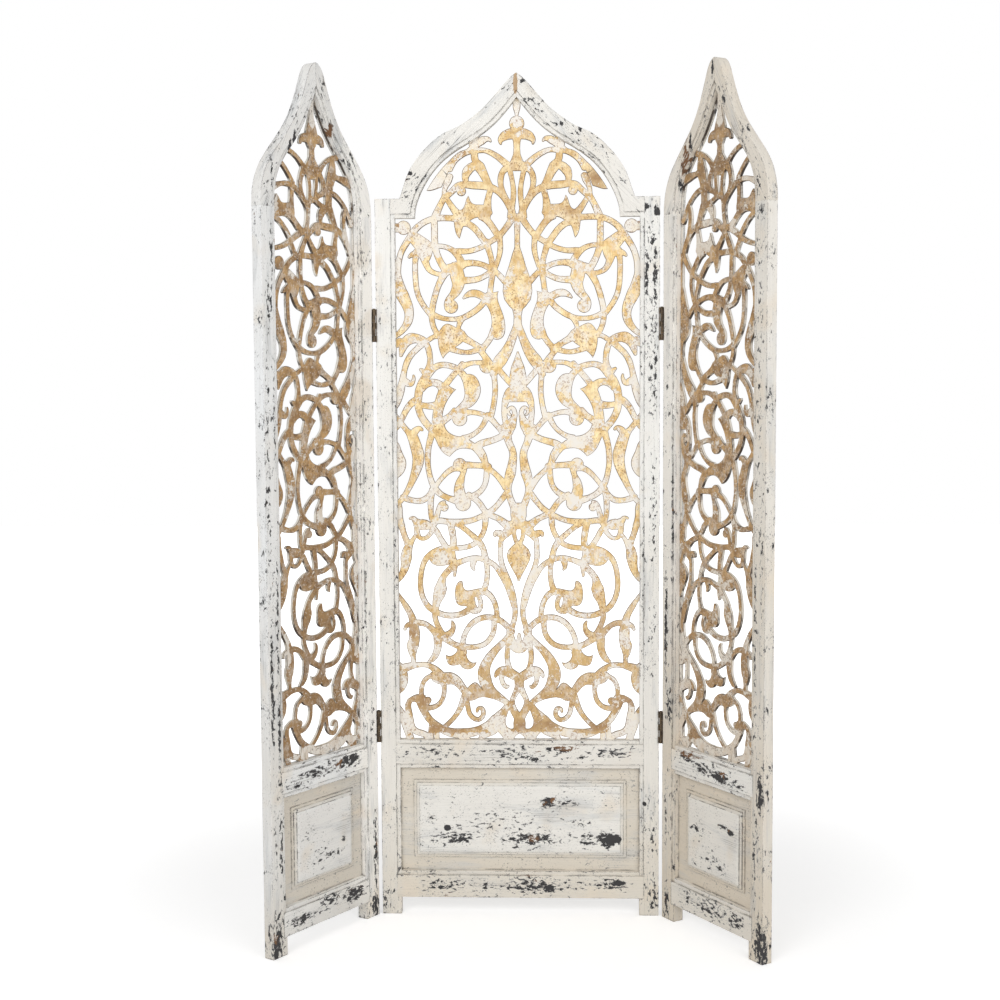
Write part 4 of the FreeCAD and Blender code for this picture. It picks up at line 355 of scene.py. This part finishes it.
def paintMaterial(name, panel, kind, lean):        # lean turns the grain, in degrees from upright
    material, tree = newMaterial(name)
    look, paint = paintLook, panelPaints[panel]
    point = panelPoint(tree, panel)
    leaning = {"Vector": point, "Rotation": (0, math.radians(lean), 0)}
    turned = addNode(tree, "Mapping", leaning).outputs["Vector"]
    grained = drawnOut(tree, turned, look["chipDraw"])
    split = addNode(tree, "SeparateXYZ", {"Vector": point})
    height, depth = split.outputs["Z"], split.outputs["Y"]
    front = rise(tree, depth, *look["frontDepths"])
    patch = grainMask(tree, turned, look["patch"], look["patchLimits"])

    # tone: whiter at the top and creamier towards the foot, which is painted light (cool light from above,
    # warm light bounced up from the floor); creamier too in the sunk margin of the base
    cloud = grainNoise(tree, grained, **look["cloud"])
    cloudy = gained(tree, cloud, look["cloudCream"], paint["creamy"][kind] - look["cloudCream"] / 2)
    foot = times(tree, rise(tree, height, *look["footHeights"]), look["footBounceCream"])
    lowerBounce = gained(tree, rise(tree, height, *look["lowHeights"]), look["lowBounceCream"], foot)
    creamShare = calc(tree, "ADD", cloudy, lowerBounce)
    if kind == "base_panel":
        margin = rise(tree, depth, *look["marginDepths"])
        creamShare = times(tree, creamShare, gained(tree, margin, look["marginCream"], look["fieldCream"]))
    tone = mixed(tree, clamped(tree, creamShare), paint["white"], paint["cream"])
    if kind != "base_panel":
        whiter = calc(tree, "MINIMUM", spotShare(tree, point, whiterSpots[panel]), 1.0)
        tone = mixed(tree, whiter, tone, paintColours["whiter"])
    warmth = grainMask(tree, point, look["warmth"], look["warmthLimits"])
    tone = mixed(tree, times(tree, warmth, look["warmthShare"]), tone, paintColours["warm"])
    streak = grainNoise(tree, drawnOut(tree, turned, look["brushDraw"]), **look["streak"])
    smudged = drawnOut(tree, turned, look["smudgeDraw"])
    smudge = grainMask(tree, smudged, look["smudge"], look["smudgeLimits"])
    tone = mixed(tree, times(tree, smudge, paint["ashShare"] * ashGain[kind]), tone, paintColours["ash"])
    tone = shaded(tree, tone, gained(tree, streak, look["streakGain"], look["streakBase"]))

    # rubbed arrises, and painted shade in the crevices where ambient occlusion finds them
    arris = arrisShare(tree, look["arrisRadius"], look["arrisLimits"])
    openness = openShare(tree, look["creviceReach"])
    fromJoint = calc(tree, "ABSOLUTE", calc(tree, "SUBTRACT", height, look["jointHeight"]))
    offJoint = rise(tree, fromJoint, *look["jointLimits"])        # paint bridges the joint of stile and arch
    # painted shade: the crevices are darkened where ambient occlusion finds them, broken up by noise
    creviceShade = times(tree, rise(tree, lacking(tree, openness), *look["creviceLimits"]), offJoint)
    broken = grainMask(tree, grained, look["broken"], look["brokenLimits"])
    tone = mixed(tree, times(tree, creviceShade, broken, look["creviceShadeShare"]), tone, paintColours["line"])
    # painted shade at the foot of each step of the base panel, broken up by noise
    if kind == "base_panel":
        stepShading = times(tree, stepShade(tree, depth), broken, paint["stepShade"])
        tone = mixed(tree, stepShading, tone, paintColours["line"])
    rubbed = grainMask(tree, turned, look["rubbed"], look["rubbedLimits"])
    outerArris = times(tree, arris, calc(tree, "SUBTRACT", offJoint, creviceShade), rubbed)

    # wear: listed spots, stray patches and rubbed arrises
    worn = times(tree, spotShare(tree, point, wornSpots[panel][kind]), front)
    worn = calc(tree, "MAXIMUM", worn, times(tree, patch, paint["wear"][kind]))
    worn = gained(tree, outerArris, paint["edgeWear"], worn)

    # hair lines and pinholes, closer together where the paint is worn
    hair = rise(tree, gained(tree, worn, look["hairWear"], streak), *look["hairLimits"])
    hairShare = gained(tree, smudge, look["hairSmudge"] * hairGain[kind], look["hairBase"] * hairGain[kind])
    tone = mixed(tree, times(tree, hair, hairShare), tone, paintColours["speck"])
    speck = grainNoise(tree, drawnOut(tree, turned, look["speckDraw"]), **look["speck"])
    speck = rise(tree, gained(tree, worn, look["speckWear"], speck), *look["speckLimits"])
    speckPatch = gained(tree, patch, look["speckPatch"], look["speckBase"])
    tone = mixed(tree, times(tree, speck, speckPatch, look["speckShare"]), tone, paintColours["speck"])

    # flaked paint, down to a dark primer or the wood
    flake = grainNoise(tree, grained, **look["flake"])
    over = calc(tree, "ADD", flake, gained(tree, worn, look["flakeWear"], -look["flakeLimit"]))
    halo = times(tree, rise(tree, over, *look["haloLimits"]), look["haloShare"])
    chip = rise(tree, over, *look["chipLimits"])
    tone = mixed(tree, halo, tone, paintColours["ash"])
    bared = calc(tree, "MAXIMUM", spotShare(tree, point, baredSpots[panel]),
                 grainMask(tree, point, look["bared"], look["baredLimits"]))
    chipTone = mixed(tree, clamped(tree, bared), paintColours["chip"], paintColours["wood"])
    tone = mixed(tree, chip, tone, chipTone)
    if kind == "arch":
        seam = calc(tree, "ADD", spotShare(tree, point, seamSpots[panel]), flake)
        seam = times(tree, rise(tree, seam, *look["seamLimits"]), front)
        tone = mixed(tree, seam, tone, paintColours["filler"])

    skin = gained(tree, streak, look["streakRelief"], times(tree, chip, -1.0))
    rough = gained(tree, chip, look["roughChip"], gained(tree, cloud, look["roughCloud"], look["roughBase"]))
    sockets = {"Base Color": tone, "Roughness": rough, "Specular IOR Level": look["specular"]}
    finishSurface(tree, sockets, skin, look["relief"])
    return material


# Gilding on the carved boards

# Each board's gold is painted to its light: the centre board's lighter, a painted sheen, and the side boards'
# darker and browner, painted shade for the light their turned fronts miss
giltColours = {
    "centre": {"light": srgb(245, 223, 174), "deep": srgb(219, 183, 120), "low": srgb(196, 161, 108),
               "wash": srgb(237, 232, 224), "fleck": srgb(150, 106, 64), "dull": srgb(160, 124, 84)},
    "left": {"light": srgb(190, 154, 106), "deep": srgb(148, 114, 74), "low": srgb(152, 118, 78),
             "wash": srgb(230, 225, 217), "fleck": srgb(96, 70, 46), "dull": srgb(120, 92, 62)},
    "right": {"light": srgb(196, 160, 112), "deep": srgb(152, 118, 78), "low": srgb(166, 132, 92),
              "wash": srgb(228, 221, 210), "fleck": srgb(96, 70, 46), "dull": srgb(124, 96, 66)},
}
# By board: how easily the gold comes off and where it is thin, and how strong its marks and painted glints
# are
giltShares = {
    "centre": {"limit": 0.54, "gain": 0.14, "outline": 0.4, "thin": 0.72, "topThin": 0.25, "tinge": 0.36,
               "sparkle": 0.14, "lowSparkle": 0.4, "hatch": 0.8},
    "left": {"limit": 0.597, "gain": 0.2, "outline": 0.55, "thin": 0.45, "topThin": 0.45, "tinge": 0.3,
             "sparkle": 0.7, "lowSparkle": 0.0, "hatch": 0.95},
    "right": {"limit": 0.563, "gain": 0.18, "outline": 0.55, "thin": 0.55, "topThin": 0.45, "tinge": 0.3,
              "sparkle": 0.7, "lowSparkle": 0.1, "hatch": 1.05},
}
giltLook = {
    "cloud": {"scale": 46, "detail": 6, "rough": 0.65}, "cloudLimits": (0.38, 0.62),
    "lowHeights": (0.95, 0.5), "lowShare": 0.7, "topHeights": (1.42, 1.6),
    "hatchDraw": 0.2, "hatch": {"scale": 380, "detail": 3, "rough": 0.6}, "hatchRelief": 0.3,
    "veilDraw": 0.7, "veil": {"scale": 48, "detail": 7, "rough": 0.72},
    "thinLimits": (0.46, 0.67), "tingeLimits": (0.56, 0.36),
    "fleck": {"scale": 240, "detail": 4, "rough": 0.7}, "fleckLimits": (0.55, 0.6),
    "fleckZone": {"scale": 17, "detail": 2}, "fleckZoneLimits": (0.37, 0.55),
    "goldFleck": 0.8, "washFleck": 0.6, "dullGain": 1.6,
    "sparkle": {"scale": 190, "detail": 4, "rough": 0.7}, "sparkleLimits": (0.58, 0.64),
    "outlineRadius": 0.005, "outlineLimits": (0.0, 0.2),
    "broad": {"scale": 28, "detail": 3}, "broadShare": 0.55,
    "fine": {"scale": 130, "detail": 8, "rough": 0.72, "warp": 0.3}, "fineShare": 0.45,
    "bareLimits": (0.0, 0.01), "rimLimits": (-0.016, 0.0), "rimShare": 0.5,
    "relief": {"Strength": 0.35, "Distance": 0.0005},
    "roughCloud": 0.2, "roughBase": 0.36, "roughBare": 0.25, "metallic": 0.12,
}

# Places where the gilding is rubbed back to white
rubbedSpots = {
    "centre": [(-163, 1620, 60, 50, 1.2), (0, 1755, 30, 40, 1.6), (-79, 1683, 40, 16, 1.2),
               (79, 1683, 40, 16, 1.2), (-189, 1502, 40, 60, 0.9), (-250, 1508, 36, 36, 0.5),
               (250, 1508, 36, 36, 1.4), (-252, 1419, 24, 60, 1.2), (252, 1419, 24, 60, 1.2),
               (-256, 1141, 22, 70, 1.4), (256, 1141, 22, 70, 1.4), (-124, 915, 26, 34, 1.5),
               (-184, 891, 30, 30, 0.9), (-256, 1009, 24, 60, 1.3), (256, 1009, 24, 60, 1.3),
               (-31, 808, 24, 30, 0.9), (0, 397, 290, 12, 1.5), (-240, 420, 50, 46, 1.3),
               (240, 420, 50, 46, 1.3), (-21, 572, 30, 40, 0.9), (0, 860, 290, 170, 0.44),
               (0, 620, 300, 200, 0.46), (-210, 560, 60, 90, 0.5), (0, 1120, 290, 190, 0.4),
               (0, 1330, 290, 130, 0.28), (59, 1359, 26, 22, 1.2), (46, 1297, 24, 44, 1.0),
               (0, 1165, 30, 60, 1.0), (114, 1052, 44, 30, 1.2), (-97, 788, 36, 18, 1.2),
               (-78, 615, 40, 26, 1.3), (-53, 426, 44, 26, 1.2), (114, 621, 40, 30, 1.2)],
    "left": [(140, 480, 26, 120, 1.5), (-110, 620, 24, 60, 1.4), (0, 404, 130, 18, 1.5),
             (120, 1480, 30, 60, 1.2), (-60, 1400, 40, 30, 0.6), (10, 900, 40, 40, 0.5),
             (0, 1738, 16, 44, 1.6), (119, 950, 12, 560, 1.3), (-122, 1535, 22, 54, 1.4)],
    "right": [(-120, 430, 40, 60, 1.5), (-110, 560, 30, 90, 1.2), (40, 440, 50, 40, 0.8),
              (0, 640, 120, 100, 0.6), (-62, 1450, 34, 36, 1.2), (0, 1730, 18, 46, 1.5),
              (60, 900, 60, 60, 0.5), (0, 404, 130, 18, 1.5), (-37, 1506, 18, 18, 2.2),
              (-40, 1459, 20, 24, 2.2), (96, 1580, 24, 16, 2.0), (47, 1486, 16, 18, 2.0),
              (-1, 769, 18, 16, 2.2)],
}

# Places where the gold is whole
keptSpots = {
    "centre": [(0, 1545, 170, 140, 0.5), (-127, 1411, 34, 40, 0.6), (-154, 1279, 40, 40, 0.6),
               (-164, 1053, 50, 34, 0.7), (-107, 1165, 26, 40, 0.6), (124, 1403, 34, 40, 0.6),
               (147, 1284, 34, 40, 0.5), (2, 1366, 30, 60, 0.5), (-42, 1311, 24, 44, 0.6),
               (164, 1164, 30, 50, 0.6), (0, 794, 34, 54, 1.4), (-117, 711, 34, 40, 1.0),
               (-206, 748, 34, 90, 0.7), (-125, 574, 44, 36, 0.9), (-162, 620, 36, 30, 0.7),
               (-58, 554, 18, 60, 0.7), (74, 561, 36, 60, 0.7), (30, 433, 90, 36, 0.7),
               (-176, 439, 60, 36, 0.5), (164, 627, 40, 50, 0.8), (127, 568, 36, 30, 0.6)],
    "left": [],
    "right": [],
}

# Places where the gold has dulled to bronze
dulledSpots = {
    "centre": [(-172, 1607, 40, 26, 1.2), (173, 1611, 36, 30, 1.3), (-114, 1663, 30, 24, 0.9),
               (115, 1538, 30, 24, 0.7), (-159, 418, 70, 18, 1.2), (172, 420, 70, 18, 1.3),
               (0, 424, 230, 16, 1.1), (-234, 623, 30, 50, 1.0), (-113, 673, 50, 20, 0.7),
               (231, 469, 36, 40, 1.2), (-218, 476, 40, 40, 1.1), (0, 500, 200, 60, 0.5),
               (-250, 1508, 14, 16, 2.0), (200, 640, 40, 40, 0.7), (0, 1580, 230, 210, 0.34)],
    "left": [(0, 700, 120, 320, 0.5)],
    "right": [(0, 1600, 120, 160, 0.6)],
}


def giltMaterial(panel):
    look, share, colour = giltLook, giltShares[panel], giltColours[panel]
    material, tree = newMaterial(panel + "_gilding")
    point = panelPoint(tree, panel)
    height = addNode(tree, "SeparateXYZ", {"Vector": point}).outputs["Z"]
    cloud = grainNoise(tree, point, **look["cloud"])
    tone = mixed(tree, rise(tree, cloud, *look["cloudLimits"]), colour["light"], colour["deep"])
    low = rise(tree, height, *look["lowHeights"])
    tone = mixed(tree, times(tree, low, look["lowShare"]), tone, colour["low"])
    hatch = grainNoise(tree, drawnOut(tree, point, look["hatchDraw"]), **look["hatch"])
    tone = shaded(tree, tone, gained(tree, hatch, share["hatch"], 1 - share["hatch"] / 2))

    # thin gold, where the white ground shows through
    veil = grainNoise(tree, drawnOut(tree, point, look["veilDraw"]), **look["veil"])
    top = rise(tree, height, *look["topHeights"])
    thinShare = gained(tree, top, share["topThin"] - share["thin"], share["thin"])
    thin = times(tree, rise(tree, veil, *look["thinLimits"]), thinShare)
    tone = mixed(tree, thin, tone, colour["wash"])

    # brown flecks, dulled places, and white specks that are painted glints of light (painted highlights)
    fleck = grainMask(tree, point, look["fleck"], look["fleckLimits"])
    fleckZone = grainMask(tree, point, look["fleckZone"], look["fleckZoneLimits"])
    tone = mixed(tree, times(tree, fleck, fleckZone, look["goldFleck"]), tone, colour["fleck"])
    dulled = times(tree, spotShare(tree, point, dulledSpots[panel]), times(tree, cloud, look["dullGain"]))
    tone = mixed(tree, clamped(tree, dulled), tone, colour["dull"])
    # painted highlights: white glints on the gold, more of them low on the centre board
    sparkle = grainMask(tree, point, look["sparkle"], look["sparkleLimits"])
    sparkleShare = gained(tree, low, share["lowSparkle"], share["sparkle"])
    tone = mixed(tree, times(tree, sparkle, sparkleShare), tone, colour["wash"])

    # rubbed through to white: most on the narrow stems and the outlines, least in the middle of the leaves
    outline = arrisShare(tree, look["outlineRadius"], look["outlineLimits"])
    rubbed = gained(tree, outline, share["outline"], spotShare(tree, point, rubbedSpots[panel]))
    rubbed = calc(tree, "SUBTRACT", rubbed, spotShare(tree, point, keptSpots[panel]))
    fine = times(tree, grainNoise(tree, point, **look["fine"]), look["fineShare"])
    flake = gained(tree, grainNoise(tree, point, **look["broad"]), look["broadShare"], fine)
    over = calc(tree, "ADD", flake, gained(tree, rubbed, share["gain"], -share["limit"]))
    bare = rise(tree, over, *look["bareLimits"])
    tinge = times(tree, rise(tree, veil, *look["tingeLimits"]), share["tinge"])
    wash = mixed(tree, tinge, colour["wash"], colour["light"])
    wash = mixed(tree, times(tree, fleck, look["washFleck"], fleckZone), wash, colour["fleck"])
    rim = times(tree, rise(tree, over, *look["rimLimits"]), look["rimShare"])
    tone = mixed(tree, rim, tone, colour["fleck"])
    tone = mixed(tree, bare, tone, wash)

    skin = gained(tree, hatch, look["hatchRelief"], times(tree, bare, -1.0))
    rough = gained(tree, bare, look["roughBare"], gained(tree, cloud, look["roughCloud"], look["roughBase"]))
    sockets = {"Base Color": tone, "Roughness": rough, "Metallic": look["metallic"]}
    finishSurface(tree, sockets, skin, look["relief"])
    return material


# Cut wood on the boards: the eased rims, the sawn walls and the backs

sawnLook = {
    "cloud": {"scale": 38, "detail": 5, "rough": 0.6}, "cloudLimits": (0.54, 0.74),
    "speck": {"scale": 260, "detail": 3, "rough": 0.7}, "speckLimits": (0.62, 0.68), "speckShare": 0.7,
    "speckTone": srgb(104, 84, 64), "shadowTone": srgb(58, 45, 35), "litTone": srgb(232, 226, 214),
    "downLimits": (-0.02, -0.5), "shadowLimits": (0.36, 0.5), "upLimits": (0.05, 0.6), "upLightShare": 0.5,
    "relief": {"Strength": 0.3, "Distance": 0.0005}, "roughness": 0.7, "specular": 0.3,
}


def sawnMaterial(panel, name, pale, dark, darkShare, under=0.0):
    look = sawnLook
    material, tree = newMaterial(panel + name)
    point = panelPoint(tree, panel)
    cloud = grainNoise(tree, point, **look["cloud"])
    low, high = look["cloudLimits"]
    tone = mixed(tree, rise(tree, cloud, low - darkShare, high - darkShare), pale, dark)
    speck = grainMask(tree, point, look["speck"], look["speckLimits"])
    tone = mixed(tree, times(tree, speck, look["speckShare"]), tone, look["speckTone"])
    if under:        # painted shade on the walls that face down, broken up by the cloud, and a painted highlight on those that face up
        facing = addNode(tree, "SeparateXYZ", {"Vector": surfaceNormal(tree)}).outputs["Z"]
        underShadow = times(tree, rise(tree, facing, *look["downLimits"]), rise(tree, cloud, *look["shadowLimits"]))
        tone = mixed(tree, times(tree, underShadow, under), tone, look["shadowTone"])
        upperLight = times(tree, rise(tree, facing, *look["upLimits"]), look["upLightShare"])
        tone = mixed(tree, upperLight, tone, look["litTone"])
    sockets = {"Base Color": tone, "Roughness": look["roughness"], "Specular IOR Level": look["specular"]}
    finishSurface(tree, sockets, cloud, look["relief"])
    return material


# The carved boards: the CAD boards with eased front edges
boardLook = {
    "easing": 0.0011, "drop": 0.0008, "merge": 0.00001,        # in metres
    "frontFacing": 0.99, "rimFacing": 0.2, "backFacing": -0.9,        # how squarely a face looks to the front
    "rimShare": 0.16, "backPale": srgb(214, 206, 192), "backDark": srgb(168, 144, 112), "backShare": 0.0,
}
# By board: colours of the eased rims and the sawn walls, and how much painted shade darkens the walls that
# face down
cutLooks = {
    "centre": {"rimPale": srgb(152, 126, 96), "rimDark": srgb(98, 74, 52), "edgePale": srgb(222, 216, 205),
               "edgeDark": srgb(150, 120, 88), "edgeShare": 0.02, "under": 0.5},
    "left": {"rimPale": srgb(178, 158, 130), "rimDark": srgb(74, 56, 40), "edgePale": srgb(240, 235, 226),
             "edgeDark": srgb(88, 70, 54), "edgeShare": 0.03, "under": 0.95},
    "right": {"rimPale": srgb(178, 158, 130), "rimDark": srgb(74, 56, 40), "edgePale": srgb(238, 231, 220),
              "edgeDark": srgb(82, 65, 50), "edgeShare": 0.04, "under": 0.95},
}


def boardMaterials(panel):        # front, rim, walls, back
    look, cut = boardLook, cutLooks[panel]
    return (giltMaterial(panel),
            sawnMaterial(panel, "_board_rim", cut["rimPale"], cut["rimDark"], look["rimShare"]),
            sawnMaterial(panel, "_board_edge", cut["edgePale"], cut["edgeDark"], cut["edgeShare"],
                         under=cut["under"]),
            sawnMaterial(panel, "_board_back", look["backPale"], look["backDark"], look["backShare"]))


def boardSlot(face, front):        # which of those four a face takes; the gilded faces are the selected ones
    facing = face.normal.dot(front)
    if face.select:
        return 0
    if facing > boardLook["rimFacing"]:
        return 1
    return 3 if facing < boardLook["backFacing"] else 2


def carvedBoard(panel):
    look, front = boardLook, frontOf(panel)
    source = parts[panel + "_fretwork"]
    board = bpy.data.objects.new(panel + "_carved_board", source.data.copy())
    scene.collection.objects.link(board)
    bpy.ops.object.select_all(action="DESELECT")
    board.select_set(True)
    bpy.context.view_layer.objects.active = board
    bpy.ops.object.mode_set(mode="EDIT")
    bpy.ops.mesh.select_all(action="SELECT")
    bpy.ops.mesh.remove_doubles(threshold=look["merge"])
    bpy.ops.mesh.customdata_custom_splitnormals_clear()
    bpy.ops.mesh.select_mode(type="FACE")
    bpy.ops.mesh.select_all(action="DESELECT")
    bpy.ops.object.mode_set(mode="OBJECT")
    for face in board.data.polygons:
        face.select = face.normal.dot(front) > look["frontFacing"]
    bpy.ops.object.mode_set(mode="EDIT")
    bpy.ops.mesh.inset(thickness=look["easing"], depth=0.0, use_even_offset=False, use_boundary=True)
    bpy.ops.object.mode_set(mode="OBJECT")
    mesh = board.data
    facePoints = {index for face in mesh.polygons if face.select for index in face.vertices}
    rimFaces = [face for face in mesh.polygons
                if not face.select and face.normal.dot(front) > look["frontFacing"]]
    rimPoints = {index for face in rimFaces for index in face.vertices} - facePoints
    for index in rimPoints:        # the rim drops away from the front
        mesh.vertices[index].co -= front * look["drop"]
    mesh.update()
    mesh.materials.clear()
    for material in boardMaterials(panel):
        mesh.materials.append(material)
    for face in mesh.polygons:
        face.material_index = boardSlot(face, front)
    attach(board, panelFrames[panel]["body"])
    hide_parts(panel + "_fretwork")
    return board


for panel in panelFrames:
    board = carvedBoard(panel)
    print("carved board:", board.name, len(board.data.polygons), "faces")


# Frames: eased arrises and paint

frameLook = {"easing": 0.001, "stepEasing": 0.0004, "segments": 2, "merge": 0.00001,
             "flatAngle": math.radians(0.4), "arrisAngle": math.radians(40)}
# Which way the grain runs, in degrees from upright
grainLeans = {"stile": 0, "rail": 90, "base_panel": 90}
archLeans = {"centre_left": -44, "centre_right": 44, "left_outer": -30, "left_inner": 30,
             "right_inner": -30, "right_outer": 30}


def easeEdges(part, width):
    weld = part.modifiers.new("weld", "WELD")
    weld.merge_threshold = frameLook["merge"]
    flat = part.modifiers.new("flat", "DECIMATE")
    flat.decimate_type = "DISSOLVE"
    flat.angle_limit = frameLook["flatAngle"]
    ease = part.modifiers.new("ease", "BEVEL")
    ease.width = width
    ease.segments = frameLook["segments"]
    ease.limit_method = "ANGLE"
    ease.angle_limit = frameLook["arrisAngle"]


def dress(part, material):
    part.data.materials.clear()
    part.data.materials.append(material)


for panel in panelFrames:
    paints = {}
    for kind, lean in grainLeans.items():
        label = panel + "_" + kind.replace("_panel", "") + "_paint"
        paints[kind] = paintMaterial(label, panel, kind, lean)
    for half, lean in archLeans.items():
        if half.startswith(panel):
            paints[half + "_arch"] = paintMaterial(half + "_arch_paint", panel, "arch", lean)
    for name, part in parts.items():
        for kind, material in paints.items():
            if name.startswith(panel) and name.endswith(kind):
                dress(part, material)
                easeEdges(part, frameLook["stepEasing" if kind == "base_panel" else "easing"])
print("frames painted")


# Hinges, screws and hidden joinery

hingeLook = {"cloud": {"scale": 180, "detail": 5, "rough": 0.6}, "cloudLimits": (0.35, 0.68),
             "dark": srgb(62, 54, 46), "worn": srgb(104, 90, 72), "roughCloud": 0.35, "roughBase": 0.28,
             "metallic": 0.85, "relief": {"Strength": 0.2, "Distance": 0.0003}}
screwLook = {"cloud": {"scale": 320, "detail": 4, "rough": 0.6}, "dull": srgb(140, 136, 128),
             "bright": srgb(176, 172, 164), "roughCloud": 0.3, "roughBase": 0.3, "metallic": 0.9}
woodLook = {"draw": 0.06, "grain": {"scale": 420, "detail": 5, "rough": 0.6, "warp": 0.4},
            "grainLimits": (0.35, 0.65), "pale": srgb(196, 160, 118), "dark": srgb(156, 118, 80),
            "roughness": 0.65, "relief": {"Strength": 0.2, "Distance": 0.0003}}


def bronzeMaterial():
    look = hingeLook
    material, tree = newMaterial("hinge_bronze_aged")
    cloud = grainNoise(tree, objectPoint(tree), **look["cloud"])
    tone = mixed(tree, rise(tree, cloud, *look["cloudLimits"]), look["dark"], look["worn"])
    rough = gained(tree, cloud, look["roughCloud"], look["roughBase"])
    sockets = {"Base Color": tone, "Roughness": rough, "Metallic": look["metallic"]}
    finishSurface(tree, sockets, cloud, look["relief"])
    return material


def steelMaterial():
    look = screwLook
    material, tree = newMaterial("screw_steel_dull")
    cloud = grainNoise(tree, objectPoint(tree), **look["cloud"])
    tone = mixed(tree, cloud, look["dull"], look["bright"])
    rough = gained(tree, cloud, look["roughCloud"], look["roughBase"])
    finishSurface(tree, {"Base Color": tone, "Roughness": rough, "Metallic": look["metallic"]})
    return material


def bareWoodMaterial():
    look = woodLook
    material, tree = newMaterial("bare_wood_grain")
    grain = grainNoise(tree, drawnOut(tree, objectPoint(tree), look["draw"]), **look["grain"])
    tone = mixed(tree, rise(tree, grain, *look["grainLimits"]), look["pale"], look["dark"])
    finishSurface(tree, {"Base Color": tone, "Roughness": look["roughness"]}, grain, look["relief"])
    return material


bronze = bronzeMaterial()
steel = steelMaterial()
bareWood = bareWoodMaterial()
for name, part in parts.items():
    if name.endswith("screws"):
        dress(part, steel)
    elif "_hinge_" in name:
        dress(part, bronze)
    elif name.endswith(("dowels", "spline")):
        dress(part, bareWood)
    elif name.endswith("fretwork"):
        dress(part, bpy.data.materials[name.split("_")[0] + "_gilding"])
print("hinges and joinery dressed")


# Floor, light and camera

stageLook = {
    "floorHalf": 9.0, "floorTone": srgb(236, 236, 236),
    "lift": 0.37, "farLift": 1.0, "liftFrom": 0.7, "liftTo": 2.6,        # whiter away from the screen
    "skyTone": (1, 1, 1, 1), "skyStrength": 0.55, "seenStrength": 1.0,
    "aim": (0, 0, 0.95),
    "key": {"power": 55, "place": (-1.4, -3.4, 2.9), "size": 2.6},
    "fill": {"power": 40, "place": (2.0, -3.2, 1.8), "size": 2.6},
}


def seenShare(tree):        # 1 where the camera, a reflection or glass sees the surface itself
    ray = addNode(tree, "LightPath").outputs
    direct = calc(tree, "MAXIMUM", ray["Is Camera Ray"], ray["Is Glossy Ray"])
    return calc(tree, "MAXIMUM", direct, ray["Is Transmission Ray"])


def floorMaterial():
    material, tree = newMaterial("floor_white")
    matt = addNode(tree, "BsdfDiffuse", {"Color": stageLook["floorTone"]})
    away = addNode(tree, "VectorMath", {0: objectPoint(tree)}, operation="LENGTH").outputs["Value"]
    spread = {"Value": away, "From Min": stageLook["liftFrom"], "From Max": stageLook["liftTo"],
              "To Min": stageLook["lift"], "To Max": stageLook["farLift"]}
    lift = addNode(tree, "MapRange", spread, interpolation_type="SMOOTHSTEP").outputs["Result"]
    glow = addNode(tree, "Emission", {"Strength": times(tree, seenShare(tree), lift)})
    both = addNode(tree, "AddShader", {0: matt.outputs["BSDF"], 1: glow.outputs["Emission"]})
    tree.links.new(both.outputs["Shader"], addNode(tree, "OutputMaterial").inputs["Surface"])
    return material


def studioWorld():
    world = bpy.data.worlds.new("studio")
    world.use_nodes = True
    tree = world.node_tree
    tree.nodes.clear()
    strength = addNode(tree, "MapRange", {"Value": seenShare(tree), "To Min": stageLook["skyStrength"],
                                          "To Max": stageLook["seenStrength"]}).outputs["Result"]
    sky = addNode(tree, "Background", {"Color": stageLook["skyTone"], "Strength": strength})
    tree.links.new(sky.outputs["Background"], addNode(tree, "OutputWorld").inputs["Surface"])
    return world


def softLamp(name):
    look = stageLook[name]
    data = bpy.data.lights.new(name, "AREA")
    data.energy = look["power"]
    data.shape = "DISK"
    data.size = look["size"]
    lamp = bpy.data.objects.new(name, data)
    scene.collection.objects.link(lamp)
    lamp.location = look["place"]
    toAim = Vector(stageLook["aim"]) - Vector(look["place"])
    lamp.rotation_euler = toAim.to_track_quat("-Z", "Y").to_euler()


bpy.ops.object.select_all(action="DESELECT")
bpy.ops.mesh.primitive_plane_add(size=2 * stageLook["floorHalf"], location=(0, 0, 0))
floor = bpy.context.object
floor.name = "studio_floor"
floor.data.materials.append(floorMaterial())
scene.world = studioWorld()
softLamp("key")
softLamp("fill")

cameraLook = {"place": (0.0991, -3.241, 1.1922), "pitch": 0.0803, "yaw": -0.0411, "roll": -0.0057,
              "focal": 1.5621, "sensor": 36, "clipEnd": 60}        # focal is in widths of the picture
pitch, yaw, roll = cameraLook["pitch"], cameraLook["yaw"], cameraLook["roll"]
sideways = Vector((math.cos(yaw), -math.sin(yaw), 0))
forward = Vector((math.sin(yaw) * math.cos(pitch), math.cos(yaw) * math.cos(pitch), -math.sin(pitch)))
upward = Vector((math.sin(yaw) * math.sin(pitch), math.cos(yaw) * math.sin(pitch), math.cos(pitch)))
cameraX = sideways * math.cos(roll) + upward * math.sin(roll)
cameraY = upward * math.cos(roll) - sideways * math.sin(roll)
lens = bpy.data.cameras.new("camera")
lens.sensor_fit = "HORIZONTAL"
lens.sensor_width = cameraLook["sensor"]
lens.lens = cameraLook["focal"] * cameraLook["sensor"]
lens.clip_end = cameraLook["clipEnd"]
camera = bpy.data.objects.new("camera", lens)
scene.collection.objects.link(camera)
looking = Matrix((cameraX, cameraY, -forward)).transposed().to_4x4()
camera.matrix_world = Matrix.Translation(cameraLook["place"]) @ looking
scene.camera = camera
scene.view_settings.view_transform = "Standard"
print("stage, light and camera set")
